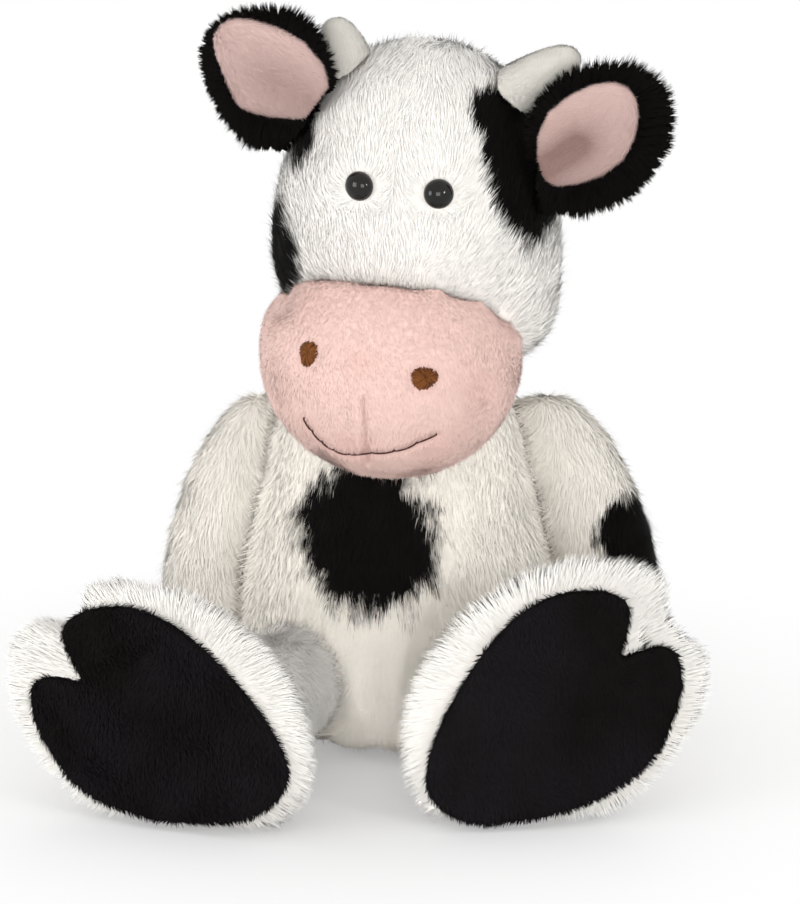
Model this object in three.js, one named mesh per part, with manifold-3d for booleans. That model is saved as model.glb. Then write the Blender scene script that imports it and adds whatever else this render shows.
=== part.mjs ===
// A seated plush cow, 26 cm tall, posed as it sits: soft covers filled with
// stuffing, a pellet pouch in the seat, cloven sole pads and safety eyes.
// Millimetres, +Z up, facing -Y. Left is the toy's own left, on +X.
import * as THREE from 'three';
import { mergeVertices } from 'three/addons/utils/BufferGeometryUtils.js';
import Module from 'manifold-3d';

const wasm = await Module();
wasm.setup();

// Sizes shared by all pieces
const coverWall = 3; // pile fabric: its backing and the pile lying on it
const seamGap = 0.3; // between pieces that are sewn or pressed together
const floorCut = 1.7; // how far the toy settles flat on the floor
const overrun = 40; // how far a cutting solid reaches past what it cuts
const sidesPerForm = 22;
const sidesPerFilling = 14;
const sidesPerRound = 14;
const fillingRingShare = 0.6;
const probeShare = 0.01; // step, of a form's half length, in which its slope is taken
const cuttingBlockShare = 4; // edge of a block that cuts along a plane, of the torso's and head's half heights

// A form swells and tapers along its own z, which runs from -1 to 1 over its length.
// half: half sizes. fullness: 2 is an ellipsoid, more is boxier. lean: shift along y.

// Torso: a pear that leans forward
const torsoHalfWidth = 59;
const torsoHalfDepth = 57;
const torsoHalfHeight = 79.6;
const torso = {
  half: [torsoHalfWidth, torsoHalfDepth, torsoHalfHeight],
  fullness: { below: 4.6, above: 2.4 },
  widthShares: [[-1, 0.92], [-0.75, 0.99], [-0.4, 0.98], [0.2, 0.8], [0.5, 0.75], [1, 0.7]],
  depthShares: [[-1, 0.98], [-0.75, 1.04], [-0.4, 0.98], [0.2, 0.78], [0.5, 0.72], [1, 0.7]],
  leanShares: [[-1, 0], [-0.4, 0], [0.4, -0.09], [1, -0.18]],
  rings: 13,
};
const pouchHeight = 38; // top of the pellet pouch in the seat

// Neck: the head is sewn on along a plane that falls towards the front
const neckShares = [0, -0.14, 0.83]; // of the torso's half width, half depth and height
const neckTilt = 30;
const neckOpeningRadius = 22;

// Head
const headHalfWidth = 51;
const headHalfDepth = 46;
const headHalfHeight = 59.5;
const head = {
  half: [headHalfWidth, headHalfDepth, headHalfHeight],
  fullness: { below: 2.6, above: 2.3 },
  widthShares: [[-1, 0.95], [-0.5, 1.02], [0, 1], [0.5, 0.94], [1, 0.88]],
  depthShares: [[-1, 0.95], [-0.4, 1], [0, 1], [0.5, 0.94], [1, 0.86]],
  leanShares: [[-1, 0], [0, 0], [1, 0.09]],
  rings: 13,
};
const headOffsetShares = [0.13, -0.43, 0.95]; // head's middle from the neck, of its half sizes
const headYaw = -11;
const headPitch = 12;
const headRoll = 6;

// Muzzle: a wide puffed panel low on the front of the head
const muzzleHalfWidth = 44;
const muzzleHalfDepth = 42;
const muzzleHalfHeight = 37;
const muzzle = {
  half: [muzzleHalfWidth, muzzleHalfDepth, muzzleHalfHeight],
  fullness: { below: 2.3, above: 2.5 },
  widthShares: [[-1, 0.9], [0, 1], [1, 0.98]],
  depthShares: [[-1, 0.96], [0, 1], [1, 0.94]],
  leanShares: [[-1, 0.05], [0, 0], [1, 0.1]],
  rings: 11,
};
const muzzleOffsetShares = [0, -0.7, -0.72]; // of the head's half sizes

// Nostrils and mouth, as shares of the muzzle's half width and half height
const nostrilPlaceShares = [0.465, 0.4];
const nostrilHalfWidth = 4.2;
const nostrilHalfHeight = 3.4;
const nostrilThickness = 1.1;
const threadRadius = 0.5;
const threadSides = 6;
const mouthSteps = 20;
const mouthWidthShare = 0.52;
const mouthHeightShare = -0.43;
const mouthCurveShare = 0.24;

// Safety eyes with a shank, and a locking washer behind the cover
const eyePlaceShares = [0.267, 0.4]; // of the head's half width and half height
const eyeRadius = 5;
const eyeDomeHeight = 4;
const eyeDomeSteps = 5;
const eyeShankRadius = 1.6;
const eyeShankLength = 11;
const shankClearance = 0.3;
const washerRadius = 5.5;
const washerThickness = 1.6;

// Horns
const horn = {
  half: [9.5, 9, 20],
  fullness: { below: 2.3, above: 2.6 },
  widthShares: [[-1, 1.1], [0, 0.92], [1, 0.74]],
  depthShares: [[-1, 1.1], [0, 0.92], [1, 0.74]],
  leanShares: [[-1, 0], [1, 0]],
  rings: 9,
};
const hornWall = 1.5; // short-pile fabric
const hornRelief = 2.3; // room between a horn and its ear
// Each horn's foot, of the head's half sizes
const hornFootShares = { left: [0.52, 0, 0.74], right: [0.5, 0, 0.71] };
const hornSunkShare = { left: 0.45, right: 0.75 }; // part of its half length inside the head's outline
const hornAngle = { left: 40, right: 72 }; // above the head's own horizontal, as it sits

// Ears: a pile-fabric back with a short-pile lining let into its front
const ear = {
  half: [22.5, 6.5, 27],
  fullness: { below: 2.2, above: 2.2 },
  widthShares: [[-1, 0.45], [-0.5, 0.92], [0, 1.04], [1, 0.8]],
  depthShares: [[-1, 1], [0, 1], [1, 0.8]],
  leanShares: [[-1, 0], [1, 0]],
  rings: 8,
};
const earLining = {
  half: [15, 3.2, 23],
  fullness: { below: 2.2, above: 2.2 },
  widthShares: [[-1, 0.5], [-0.5, 0.9], [0, 1.03], [1, 0.78]],
  depthShares: [[-1, 1], [0, 1], [1, 1]],
  leanShares: [[-1, 0], [1, 0]],
  rings: 8,
};
const earRootHeightShare = { left: 0.33, right: 0.54 }; // of the head's half height, on its side
const earRootTurn = 16; // from the head's side towards its face
const earRootRadius = 6.5;
const earRootStandOff = 3.5; // middle of the root outside the head's surface
const earLeafDirectionShares = { left: [0.52, 0.0, 0.85], right: [-0.65, -0.15, 0.75] };
const earLeafOutShare = { left: 0.82, right: 0.45 }; // leaf's middle from its root, of its half length
// Lining's middle from the leaf's, of the leaf's half sizes
const liningOffsetShares = { left: [0.2, -0.77, -0.03], right: [0.15, -0.77, 0.1] };
const earSplay = 14; // how far the ears' hollow sides turn outwards

// Arms: stuffed tubes that hang from the shoulders and lie on the torso's flanks
const arm = {
  half: [22, 17.5, 53],
  fullness: { below: 2.8, above: 3 },
  widthShares: [[-1, 1], [-0.3, 1], [0.4, 0.96], [1, 0.88]],
  depthShares: [[-1, 1.1], [-0.3, 1.04], [0.4, 0.92], [1, 0.85]],
  leanShares: [[-1, 0], [1, 0]],
  bow: 4.5, // outwards, at its middle
  rings: 10,
};
const shoulderShares = { left: [0.77, 0.035, 0.618], right: [-0.78, 0.035, 0.618] };
const flankSlope = { left: 14, right: 11 }; // how far the flanks lean inwards, in degrees
const armMiddleShares = { left: [0.79, -0.11, -0.6], right: [-0.37, -0.11, -0.6] }; // from the shoulder
const armSlope = { left: 15.5, right: 13 }; // how far the arms hang outwards, in degrees
const armForward = 3.3; // and how far forwards
const armOpeningRadius = 8;

// Legs: a stuffed tube that widens into a broad foot
const leg = {
  length: { left: 74, right: 82 }, // hip to sole: the left one is pushed further in
  rootRadius: 21,
  footHalfLength: 56,
  footHalfWidth: 42,
  // Place along the leg, growth from tube to foot, and shift towards the toes, as shares
  flareShares: [[0.36, 0, 0.03], [0.5, 0.08, 0.1], [0.66, 0.45, 0.42], [0.78, 0.86, 0.8], [0.88, 1, 1]],
  rimShares: [[0.96, 0.96], [1, 0.87]], // place along the leg, and part of the foot's size
  capSteps: 5,
};
// Of the torso's half width and half depth
const hipShares = { left: [0.576, -0.807], right: [0.68, -0.807] };
const hipHeightShare = 1.19; // of the leg's own radius
const legSplay = { left: 6.2, right: 20.6 }; // outwards from straight ahead
const legRise = { left: 4.1, right: 3.5 };
const toeAngle = { left: 40, right: 24 }; // of the toes above the floor
const toeShift = 14; // middle of the foot from the middle of the leg
const legLiftRange = 20;
const legRelief = 0.6; // room in the torso's front round a leg as it lifts
const legOpeningRadius = 11;

// Cloven sole pads: half of the outline's points lie on each toe
const soleThickness = 2.2;
const soleHalfLength = 45.5;
const soleHalfWidth = 33;
const soleShift = 9.4; // middle of the pad from the middle of the leg
const sidesPerSoleCurve = 2;
const soleOutlineShares = [
  [0, 0.66], [0.14, 0.81], [0.32, 0.96], [0.52, 0.95], [0.72, 0.84], [0.92, 0.62], [1, 0.38], [1, 0.16],
  [0.92, -0.12], [0.75, -0.49], [0.55, -0.77], [0.3, -0.97], [0, -1], [-0.33, -0.87], [-0.6, -0.62],
  [-0.84, -0.3], [-0.98, 0.05], [-1, 0.3], [-0.92, 0.54], [-0.66, 0.85], [-0.36, 1], [-0.18, 0.96], [-0.07, 0.82],
];

// Tail: a short cord of pile fabric with a dark tuft
const tailCord = {
  half: [6, 6, 26],
  fullness: { below: 2, above: 2.6 },
  widthShares: [[-1, 1], [0, 0.9], [1, 0.9]],
  depthShares: [[-1, 1], [0, 0.9], [1, 0.9]],
  leanShares: [[-1, 0], [1, 0]],
  rings: 8,
};
const tailTuft = {
  half: [9, 8, 15],
  fullness: { below: 2.2, above: 2 },
  widthShares: [[-1, 1], [0, 1], [1, 0.8]],
  depthShares: [[-1, 1], [0, 1], [1, 0.8]],
  leanShares: [[-1, 0], [1, 0]],
  rings: 8,
};
const tailRootShares = [0, 1, 0.293]; // of the torso's half width, half depth and height
const tailDroop = 40; // below the horizontal

// Smooth value at z through [place, value] pairs
function along(pairs, z) {
  const last = pairs.length - 1;
  let i = 0;
  while (i < last - 1 && z > pairs[i + 1][0]) i += 1;
  const slope = (k) => {
    const a = pairs[Math.max(k - 1, 0)];
    const b = pairs[Math.min(k + 1, last)];
    return (b[1] - a[1]) / (b[0] - a[0]);
  };
  const [z0, v0] = pairs[i];
  const [z1, v1] = pairs[i + 1];
  const span = z1 - z0;
  const t = Math.min(Math.max((z - z0) / span, 0), 1);
  const t2 = t * t;
  const t3 = t2 * t;
  return v0 * (2 * t3 - 3 * t2 + 1) + slope(i) * span * (t3 - 2 * t2 + t)
    + v1 * (3 * t2 - 2 * t3) + slope(i + 1) * span * (t3 - t2);
}

// Closed skin through rings { x, y, z, across, long }, closed at both ends by a point
function loft(rings, sides) {
  const positions = [];
  const first = rings[0];
  const last = rings[rings.length - 1];
  positions.push(first.x, first.y, first.z);
  for (const ring of rings.slice(1, -1)) {
    for (let s = 0; s < sides; s += 1) {
      const turn = (s / sides) * 2 * Math.PI;
      positions.push(ring.x + ring.across * Math.cos(turn), ring.y + ring.long * Math.sin(turn), ring.z);
    }
  }
  positions.push(last.x, last.y, last.z);
  const faces = [];
  const at = (ring, side) => 1 + ring * sides + (side % sides);
  const bands = rings.length - 3;
  for (let s = 0; s < sides; s += 1) {
    faces.push(0, at(0, s + 1), at(0, s));
    for (let r = 0; r < bands; r += 1) {
      faces.push(at(r, s), at(r, s + 1), at(r + 1, s + 1));
      faces.push(at(r, s), at(r + 1, s + 1), at(r + 1, s));
    }
    faces.push(at(bands, s), at(bands, s + 1), at(bands + 1, 0));
  }
  const geometry = new THREE.BufferGeometry();
  geometry.setAttribute('position', new THREE.Float32BufferAttribute(positions, 3));
  geometry.setIndex(faces);
  return geometry;
}

// Roundness of a form at place z, from 0 at its poles to 1 at its middle
function roundness(form, z) {
  const p = z < 0 ? form.fullness.below : form.fullness.above;
  return Math.max(1 - Math.abs(z) ** p, 0) ** (1 / p);
}

// A stuffed form about its own middle, taken in all round by inset
function plump(form, sides, inset = 0, rings = form.rings) {
  const [a, b, c] = form.half.map((h) => h - inset);
  const list = [];
  for (let i = 0; i <= rings; i += 1) {
    const z = -Math.cos((Math.PI * i) / rings);
    const round = i === 0 || i === rings ? 0 : roundness(form, z);
    list.push({
      x: (form.bow ?? 0) * (1 - z * z),
      y: form.half[1] * along(form.leanShares, z),
      z: c * z,
      across: a * along(form.widthShares, z) * round,
      long: b * along(form.depthShares, z) * round,
    });
  }
  return loft(list, sides);
}

// Point on a form's front at local x and z, moved out by the given amount along the normal
function frontOf(form, x, z, out = 0) {
  const surface = (px, pz) => {
    const share = pz / form.half[2];
    const round = roundness(form, share);
    const across = form.half[0] * along(form.widthShares, share) * round;
    const long = form.half[1] * along(form.depthShares, share) * round;
    const lean = form.half[1] * along(form.leanShares, share);
    return new THREE.Vector3(px, lean - long * Math.sqrt(1 - (px / across) ** 2), pz);
  };
  const step = form.half[2] * probeShare;
  const point = surface(x, z);
  const across = surface(x + step, z).sub(surface(x - step, z));
  const rise = surface(x, z + step).sub(surface(x, z - step));
  const normal = across.cross(rise).normalize();
  return { point: point.addScaledVector(normal, out), normal };
}

// Booleans
function solidOf(geometry) {
  const plain = new THREE.BufferGeometry();
  plain.setAttribute('position', geometry.getAttribute('position').clone());
  if (geometry.index) plain.setIndex(geometry.index.clone());
  const merged = mergeVertices(plain);
  return new wasm.Manifold(new wasm.Mesh({
    numProp: 3,
    vertProperties: new Float32Array(merged.getAttribute('position').array),
    triVerts: new Uint32Array(merged.index.array),
  }));
}

function geometryOf(solid) {
  const mesh = solid.getMesh();
  const geometry = new THREE.BufferGeometry();
  geometry.setAttribute('position', new THREE.Float32BufferAttribute(mesh.vertProperties, 3));
  geometry.setIndex(new THREE.Uint32BufferAttribute(mesh.triVerts, 1));
  return geometry;
}

const vector = (list) => new THREE.Vector3(...list);
const up = new THREE.Vector3(0, 0, 1);
const radians = THREE.MathUtils.degToRad;
const blockSize = cuttingBlockShare * (torso.half[2] + head.half[2]);

// Frame at a point whose z runs along direction and whose y is as near to hint as it can be
function frameAt(point, direction, hint) {
  const z = direction.clone().normalize();
  const x = hint.clone().cross(z).normalize();
  const y = z.clone().cross(x);
  return new THREE.Matrix4().makeBasis(x, y, z).setPosition(point);
}

// All that lies on the side of the plane that the normal points to
function beyond(point, normal) {
  const block = new THREE.BoxGeometry(blockSize, blockSize, blockSize).translate(0, 0, blockSize / 2);
  const hint = Math.abs(normal.z) > Math.abs(normal.x) ? new THREE.Vector3(1, 0, 0) : up;
  return solidOf(block.applyMatrix4(frameAt(point, normal, hint)));
}

function ball(centre, radius) {
  const sphere = new THREE.SphereGeometry(radius, sidesPerRound, sidesPerRound / 2);
  return solidOf(sphere.translate(centre.x, centre.y, centre.z));
}

// Faceted ball and bar that hold a true round of the given radius, for cutting round it
const outsideRound = 1 / Math.cos(Math.PI / sidesPerRound);
const roomFor = (centre, radius) => ball(centre, radius * outsideRound ** 2);
const boreFor = (start, direction, length, radius) => bar(start, direction, length, radius * outsideRound);

// Round bar from start, along direction
function bar(start, direction, length, radius) {
  const cylinder = new THREE.CylinderGeometry(radius, radius, length, sidesPerRound);
  cylinder.rotateX(Math.PI / 2).translate(0, 0, length / 2);
  const hint = Math.abs(direction.y) < Math.abs(direction.z) ? new THREE.Vector3(0, 1, 0) : up;
  return solidOf(cylinder.applyMatrix4(frameAt(start, direction, hint)));
}

const sides = ['left', 'right'];
const sign = { left: 1, right: -1 };

const torsoHeight = 2 * torso.half[2];
const onTorso = ([x, y, z]) => new THREE.Vector3(x * torso.half[0], y * torso.half[1], z * torsoHeight);
const scaled = (shares, sizes) => vector(shares).multiply(vector(sizes));

// Neck plane
const neck = onTorso(neckShares);
const neckNormal = new THREE.Vector3(0, -Math.sin(radians(neckTilt)), Math.cos(radians(neckTilt)));

// Shoulders: each arm lies against the torso along a plane that leans with its flank
const shoulder = { left: onTorso(shoulderShares.left), right: onTorso(shoulderShares.right) };

function flankNormal(side) {
  const slope = radians(flankSlope[side]);
  return new THREE.Vector3(sign[side] * Math.cos(slope), 0, Math.sin(slope));
}

// Hips, and the way each leg and its toes point
function hip(side) {
  const [x, y] = hipShares[side];
  return new THREE.Vector3(sign[side] * x * torso.half[0], y * torso.half[1], hipHeightShare * leg.rootRadius);
}

function legDirection(side) {
  const splay = radians(legSplay[side]);
  const rise = radians(legRise[side]);
  const level = Math.cos(rise);
  return new THREE.Vector3(sign[side] * level * Math.sin(splay), -level * Math.cos(splay), Math.sin(rise));
}

function liftAxis(side) {
  return legDirection(side).setZ(0).cross(up).normalize();
}

function legFrame(side) {
  const turn = radians(toeAngle[side]);
  const toes = new THREE.Vector3(sign[side] * Math.cos(turn), 0, Math.sin(turn));
  return frameAt(hip(side), legDirection(side), toes);
}

// Rings from the round root to the foot's rim, all taken in by inset
function legRings(side, inset) {
  const rootRadius = leg.rootRadius - inset;
  const rings = [];
  for (let i = 0; i <= leg.capSteps; i += 1) {
    const turn = (Math.PI / 2) * (i / leg.capSteps);
    const radius = rootRadius * Math.sin(turn);
    rings.push({ x: 0, y: 0, z: -rootRadius * Math.cos(turn), across: radius, long: radius });
  }
  for (const [place, flare, shift] of leg.flareShares) {
    rings.push({
      x: 0,
      y: toeShift * shift,
      z: leg.length[side] * place,
      across: rootRadius + (leg.footHalfWidth - leg.rootRadius) * flare,
      long: rootRadius + (leg.footHalfLength - leg.rootRadius) * flare,
    });
  }
  for (const [place, size] of leg.rimShares) {
    rings.push({
      x: 0,
      y: toeShift,
      z: (leg.length[side] - inset) * place,
      across: (leg.footHalfWidth - inset) * size,
      long: (leg.footHalfLength - inset) * size,
    });
  }
  rings.push({ x: 0, y: toeShift, z: leg.length[side] - inset, across: 0, long: 0 });
  return rings;
}

function belowFloor(inset) {
  return beyond(new THREE.Vector3(0, 0, inset), up.clone().negate());
}

function legSolid(side, sideCount, inset = 0) {
  const geometry = loft(legRings(side, inset), sideCount).applyMatrix4(legFrame(side));
  return solidOf(geometry).subtract(belowFloor(inset));
}

const tailRoot = onTorso(tailRootShares);

function torsoSolid(sideCount, inset = 0, rings = torso.rings) {
  const geometry = plump(torso, sideCount, inset, rings).translate(0, 0, torso.half[2] - floorCut);
  let solid = solidOf(geometry).subtract(belowFloor(inset));
  solid = solid.subtract(beyond(neck.clone().addScaledVector(neckNormal, -seamGap / 2 - inset), neckNormal));
  for (const side of sides) {
    const flank = shoulder[side].clone().addScaledVector(flankNormal(side), -inset);
    solid = solid.subtract(beyond(flank, flankNormal(side)));
    solid = solid.subtract(roomFor(hip(side), leg.rootRadius + seamGap + inset));
    for (const lift of [-legLiftRange, 0, legLiftRange]) {
      const direction = legDirection(side).applyAxisAngle(liftAxis(side), radians(lift));
      solid = solid.subtract(boreFor(hip(side), direction, overrun, leg.rootRadius + legRelief + inset));
    }
  }
  return solid.subtract(roomFor(tailRoot, tailCord.half[0] + seamGap + inset));
}

// Head, in its own frame and then set on the neck
const headFrame = new THREE.Matrix4().compose(
  neck.clone().add(scaled(headOffsetShares, head.half)),
  new THREE.Quaternion().setFromEuler(new THREE.Euler(radians(headPitch), radians(headRoll), radians(headYaw), 'ZYX')),
  new THREE.Vector3(1, 1, 1),
);

function behindNeck(inset) {
  return beyond(neck.clone().addScaledVector(neckNormal, seamGap / 2 + inset), neckNormal.clone().negate());
}

function headForm(sideCount, inset = 0, rings = head.rings) {
  return solidOf(plump(head, sideCount, inset, rings).applyMatrix4(headFrame));
}

function muzzleForm(sideCount, inset = 0, rings = muzzle.rings) {
  const geometry = plump(muzzle, sideCount, inset, rings).translate(...muzzleCentre).applyMatrix4(headFrame);
  return solidOf(geometry);
}

const muzzleCentre = scaled(muzzleOffsetShares, head.half).toArray();
const headAxis = (x, y, z) => new THREE.Vector3(x, y, z).transformDirection(headFrame);

// Place on the head's front or on the muzzle's front, in the toy's frame
function onFace(form, centre, x, z, out) {
  const found = frontOf(form, x - centre[0], z - centre[2], out);
  const point = found.point.add(vector(centre)).applyMatrix4(headFrame);
  return { point, normal: found.normal.transformDirection(headFrame) };
}

const headMiddle = [0, 0, 0];

function eyePlace(side, out) {
  const [x, z] = eyePlaceShares;
  return onFace(head, headMiddle, sign[side] * x * head.half[0], z * head.half[2], out);
}

function eyeBore(side, radius, depth) {
  const place = eyePlace(side, eyeDomeHeight);
  return boreFor(place.point, place.normal.clone().negate(), depth + eyeDomeHeight, radius);
}

function hornFrame(side) {
  const turn = radians(hornAngle[side]);
  const outward = new THREE.Vector3(sign[side] * Math.cos(turn), 0, Math.sin(turn));
  const foot = scaled(hornFootShares[side], head.half);
  foot.x *= sign[side];
  const centre = foot.addScaledVector(outward, horn.half[2] * (1 - hornSunkShare[side]));
  return headFrame.clone().multiply(frameAt(centre, outward, new THREE.Vector3(0, 1, 0)));
}

function hornForm(side, sideCount, inset = 0) {
  return solidOf(plump(horn, sideCount, inset).applyMatrix4(hornFrame(side)));
}

// Ears: a round root on the head's side, and a leaf that points out, hollow side forward
function earRoot(side) {
  const share = earRootHeightShare[side];
  const turn = radians(earRootTurn);
  const x = sign[side] * Math.cos(turn) * head.half[0] * along(head.widthShares, share) * roundness(head, share);
  const lean = head.half[1] * along(head.leanShares, share);
  const y = lean - Math.sin(turn) * head.half[1] * along(head.depthShares, share) * roundness(head, share);
  const surface = new THREE.Vector3(x, y, share * head.half[2]);
  const outward = surface.clone().normalize();
  return surface.addScaledVector(outward, earRootStandOff).applyMatrix4(headFrame);
}

function earFrame(side) {
  const leaf = headAxis(...earLeafDirectionShares[side]);
  const splay = radians(earSplay);
  const back = headAxis(-sign[side] * Math.sin(splay), Math.cos(splay), 0);
  return frameAt(earRoot(side), leaf, back);
}

const material = (color, roughness, metalness = 0) => new THREE.MeshStandardMaterial({ color, roughness, metalness });
const whitePile = material(0xf3f0e8, 0.95);
const blackPile = material(0x151414, 0.95);
const pinkPile = material(0xe9aca6, 0.85);
const hornFelt = material(0xd9d4c9, 0.9);
const stuffingFibre = material(0xf8f8f6, 1);
const pelletCloth = material(0xcfc9bc, 0.9);
const blackGloss = material(0x080808, 0.12);
const washerPlastic = material(0xe6e6e2, 0.5);
const brownThread = material(0x5a2d16, 0.7);
const darkThread = material(0x3a1f24, 0.7);

const pieces = new THREE.Group();

function add(name, geometry, finish) {
  const mesh = new THREE.Mesh(geometry, finish);
  mesh.name = name;
  pieces.add(mesh);
}

const addSolid = (name, solid, finish) => add(name, geometryOf(solid), finish);
const coverAndGap = coverWall + seamGap;
const fewer = (rings) => Math.round(rings * fillingRingShare);

// Torso cover, pellet pouch and stuffing
const neckMouth = bar(
  neck.clone().addScaledVector(neckNormal, -overrun / 2),
  neckNormal,
  overrun,
  neckOpeningRadius,
);
const torsoCavity = torsoSolid(sidesPerFilling, coverWall, fewer(torso.rings));
addSolid('torso_cover', torsoSolid(sidesPerForm).subtract(torsoCavity).subtract(neckMouth), whitePile);
const torsoFilling = torsoSolid(sidesPerFilling, coverAndGap, fewer(torso.rings));
const abovePouch = beyond(new THREE.Vector3(0, 0, pouchHeight), up);
const belowStuffing = beyond(new THREE.Vector3(0, 0, pouchHeight + seamGap), up.clone().negate());
addSolid('pellet_pouch', torsoFilling.subtract(abovePouch), pelletCloth);
addSolid('torso_stuffing', torsoFilling.subtract(belowStuffing), stuffingFibre);

// Head cover and stuffing
const neckSide = behindNeck(0);
const headOuter = headForm(sidesPerForm).subtract(neckSide);
const headCavity = headForm(sidesPerFilling, coverWall, fewer(head.rings)).subtract(behindNeck(coverWall));
let headCover = headOuter.subtract(headCavity).subtract(neckMouth);
let headFilling = headForm(sidesPerFilling, coverAndGap, fewer(head.rings)).subtract(behindNeck(coverAndGap));
for (const side of sides) {
  headCover = headCover.subtract(eyeBore(side, eyeShankRadius + shankClearance, eyeShankLength));
  headCover = headCover.subtract(roomFor(earRoot(side), earRootRadius + seamGap));
  headFilling = headFilling.subtract(roomFor(earRoot(side), earRootRadius + seamGap + coverAndGap));
  headFilling = headFilling.subtract(eyeBore(side, washerRadius + seamGap, eyeShankLength + seamGap));
}
addSolid('head_cover', headCover, whitePile);
addSolid('head_stuffing', headFilling, stuffingFibre);

// Muzzle panel with its own stuffing, sewn to the head's front
const headForMuzzle = headForm(sidesPerForm, -seamGap);
const headForFilling = headForm(sidesPerForm, -2 * seamGap);
const muzzleOuter = muzzleForm(sidesPerForm).subtract(headForMuzzle).subtract(neckSide);
const muzzleCavity = muzzleForm(sidesPerFilling, coverWall, fewer(muzzle.rings));
addSolid('muzzle_cover', muzzleOuter.subtract(muzzleCavity), pinkPile);
const muzzleFilling = muzzleForm(sidesPerFilling, coverAndGap, fewer(muzzle.rings));
addSolid('muzzle_stuffing', muzzleFilling.subtract(headForFilling).subtract(behindNeck(coverAndGap)), stuffingFibre);

// Nostrils: small domed patches of satin stitch
function onMuzzle(widthShare, heightShare, out) {
  const x = muzzleCentre[0] + widthShare * muzzle.half[0];
  const z = muzzleCentre[2] + heightShare * muzzle.half[2];
  return onFace(muzzle, muzzleCentre, x, z, out);
}

for (const side of sides) {
  const profileShares = [[0, 0], [1, 0], [1, 0.45], [0.7, 0.9], [0, 1]];
  const profile = profileShares.map(([r, h]) => new THREE.Vector2(r, h));
  const patch = new THREE.LatheGeometry(profile, sidesPerRound).rotateX(Math.PI / 2);
  patch.scale(nostrilHalfWidth, nostrilHalfHeight, nostrilThickness);
  const place = onMuzzle(sign[side] * nostrilPlaceShares[0], nostrilPlaceShares[1], seamGap);
  patch.applyMatrix4(frameAt(place.point, place.normal, headAxis(0, 0, 1)));
  add(`nostril_${side}`, geometryOf(solidOf(patch)), brownThread);
}

// Mouth: one line of stitching that follows the muzzle's front
const mouthPoints = [];
for (let i = 0; i <= mouthSteps; i += 1) {
  const share = (2 * i) / mouthSteps - 1;
  const height = mouthHeightShare + mouthCurveShare * share ** 2;
  mouthPoints.push(onMuzzle(mouthWidthShare * share, height, seamGap + 2 * threadRadius).point);
}
const threadOutline = [];
for (let i = 0; i < threadSides; i += 1) {
  const turn = (i / threadSides) * 2 * Math.PI;
  threadOutline.push(new THREE.Vector2(Math.cos(turn), Math.sin(turn)).multiplyScalar(threadRadius));
}
const mouthLine = new THREE.ExtrudeGeometry(new THREE.Shape(threadOutline), {
  steps: mouthSteps,
  extrudePath: new THREE.CatmullRomCurve3(mouthPoints),
});
addSolid('mouth_stitching', solidOf(mouthLine), darkThread);

// Safety eyes and their washers
for (const side of sides) {
  const place = eyePlace(side, seamGap);
  const frame = frameAt(place.point, place.normal, headAxis(0, 0, 1));
  const outline = [[0, -eyeShankLength], [eyeShankRadius, -eyeShankLength], [eyeShankRadius, 0], [eyeRadius, 0]];
  for (let i = 1; i < eyeDomeSteps; i += 1) {
    const turn = (Math.PI / 2) * (i / eyeDomeSteps);
    outline.push([eyeRadius * Math.cos(turn), eyeDomeHeight * Math.sin(turn)]);
  }
  outline.push([0, eyeDomeHeight]);
  const eye = new THREE.LatheGeometry(outline.map((p) => new THREE.Vector2(...p)), sidesPerRound);
  addSolid(`eye_${side}`, solidOf(eye.rotateX(Math.PI / 2).applyMatrix4(frame)), blackGloss);
  const bore = eyeShankRadius + shankClearance;
  const low = -eyeShankLength + washerThickness;
  const washerOutline = [
    [bore, low], [washerRadius, low], [washerRadius, low + washerThickness], [bore, low + washerThickness],
    [bore, low],
  ];
  const washer = new THREE.LatheGeometry(washerOutline.map((p) => new THREE.Vector2(...p)), sidesPerRound);
  addSolid(`eye_washer_${side}`, solidOf(washer.rotateX(Math.PI / 2).applyMatrix4(frame)), washerPlastic);
}

// Horns: felt covers with stuffing
for (const side of sides) {
  const cover = hornForm(side, sidesPerFilling).subtract(hornForm(side, sidesPerFilling, hornWall));
  addSolid(`horn_cover_${side}`, cover.subtract(headForMuzzle), hornFelt);
  const filling = hornForm(side, sidesPerFilling, hornWall + seamGap);
  addSolid(`horn_stuffing_${side}`, filling.subtract(headForFilling), stuffingFibre);
}

// Ears: the leaf grows out of its round root
const clearOfHead = headForm(sidesPerForm, -earRootStandOff);
for (const side of sides) {
  const frame = earFrame(side);
  const middle = earLeafOutShare[side] * ear.half[2];
  const leaf = solidOf(plump(ear, sidesPerRound).translate(0, 0, middle).applyMatrix4(frame));
  const place = scaled(liningOffsetShares[side], ear.half);
  const lining = (inset) => {
    const form = plump(earLining, sidesPerRound, inset);
    return solidOf(form.translate(-sign[side] * place.x, place.y, middle + place.z).applyMatrix4(frame));
  };
  const nearHorn = hornForm(side, sidesPerFilling, -hornRelief);
  const back = leaf.subtract(clearOfHead).subtract(nearHorn).add(ball(earRoot(side), earRootRadius));
  addSolid(`ear_back_${side}`, back.subtract(lining(-seamGap)), blackPile);
  addSolid(`ear_lining_${side}`, lining(0).subtract(clearOfHead), pinkPile);
}

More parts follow.
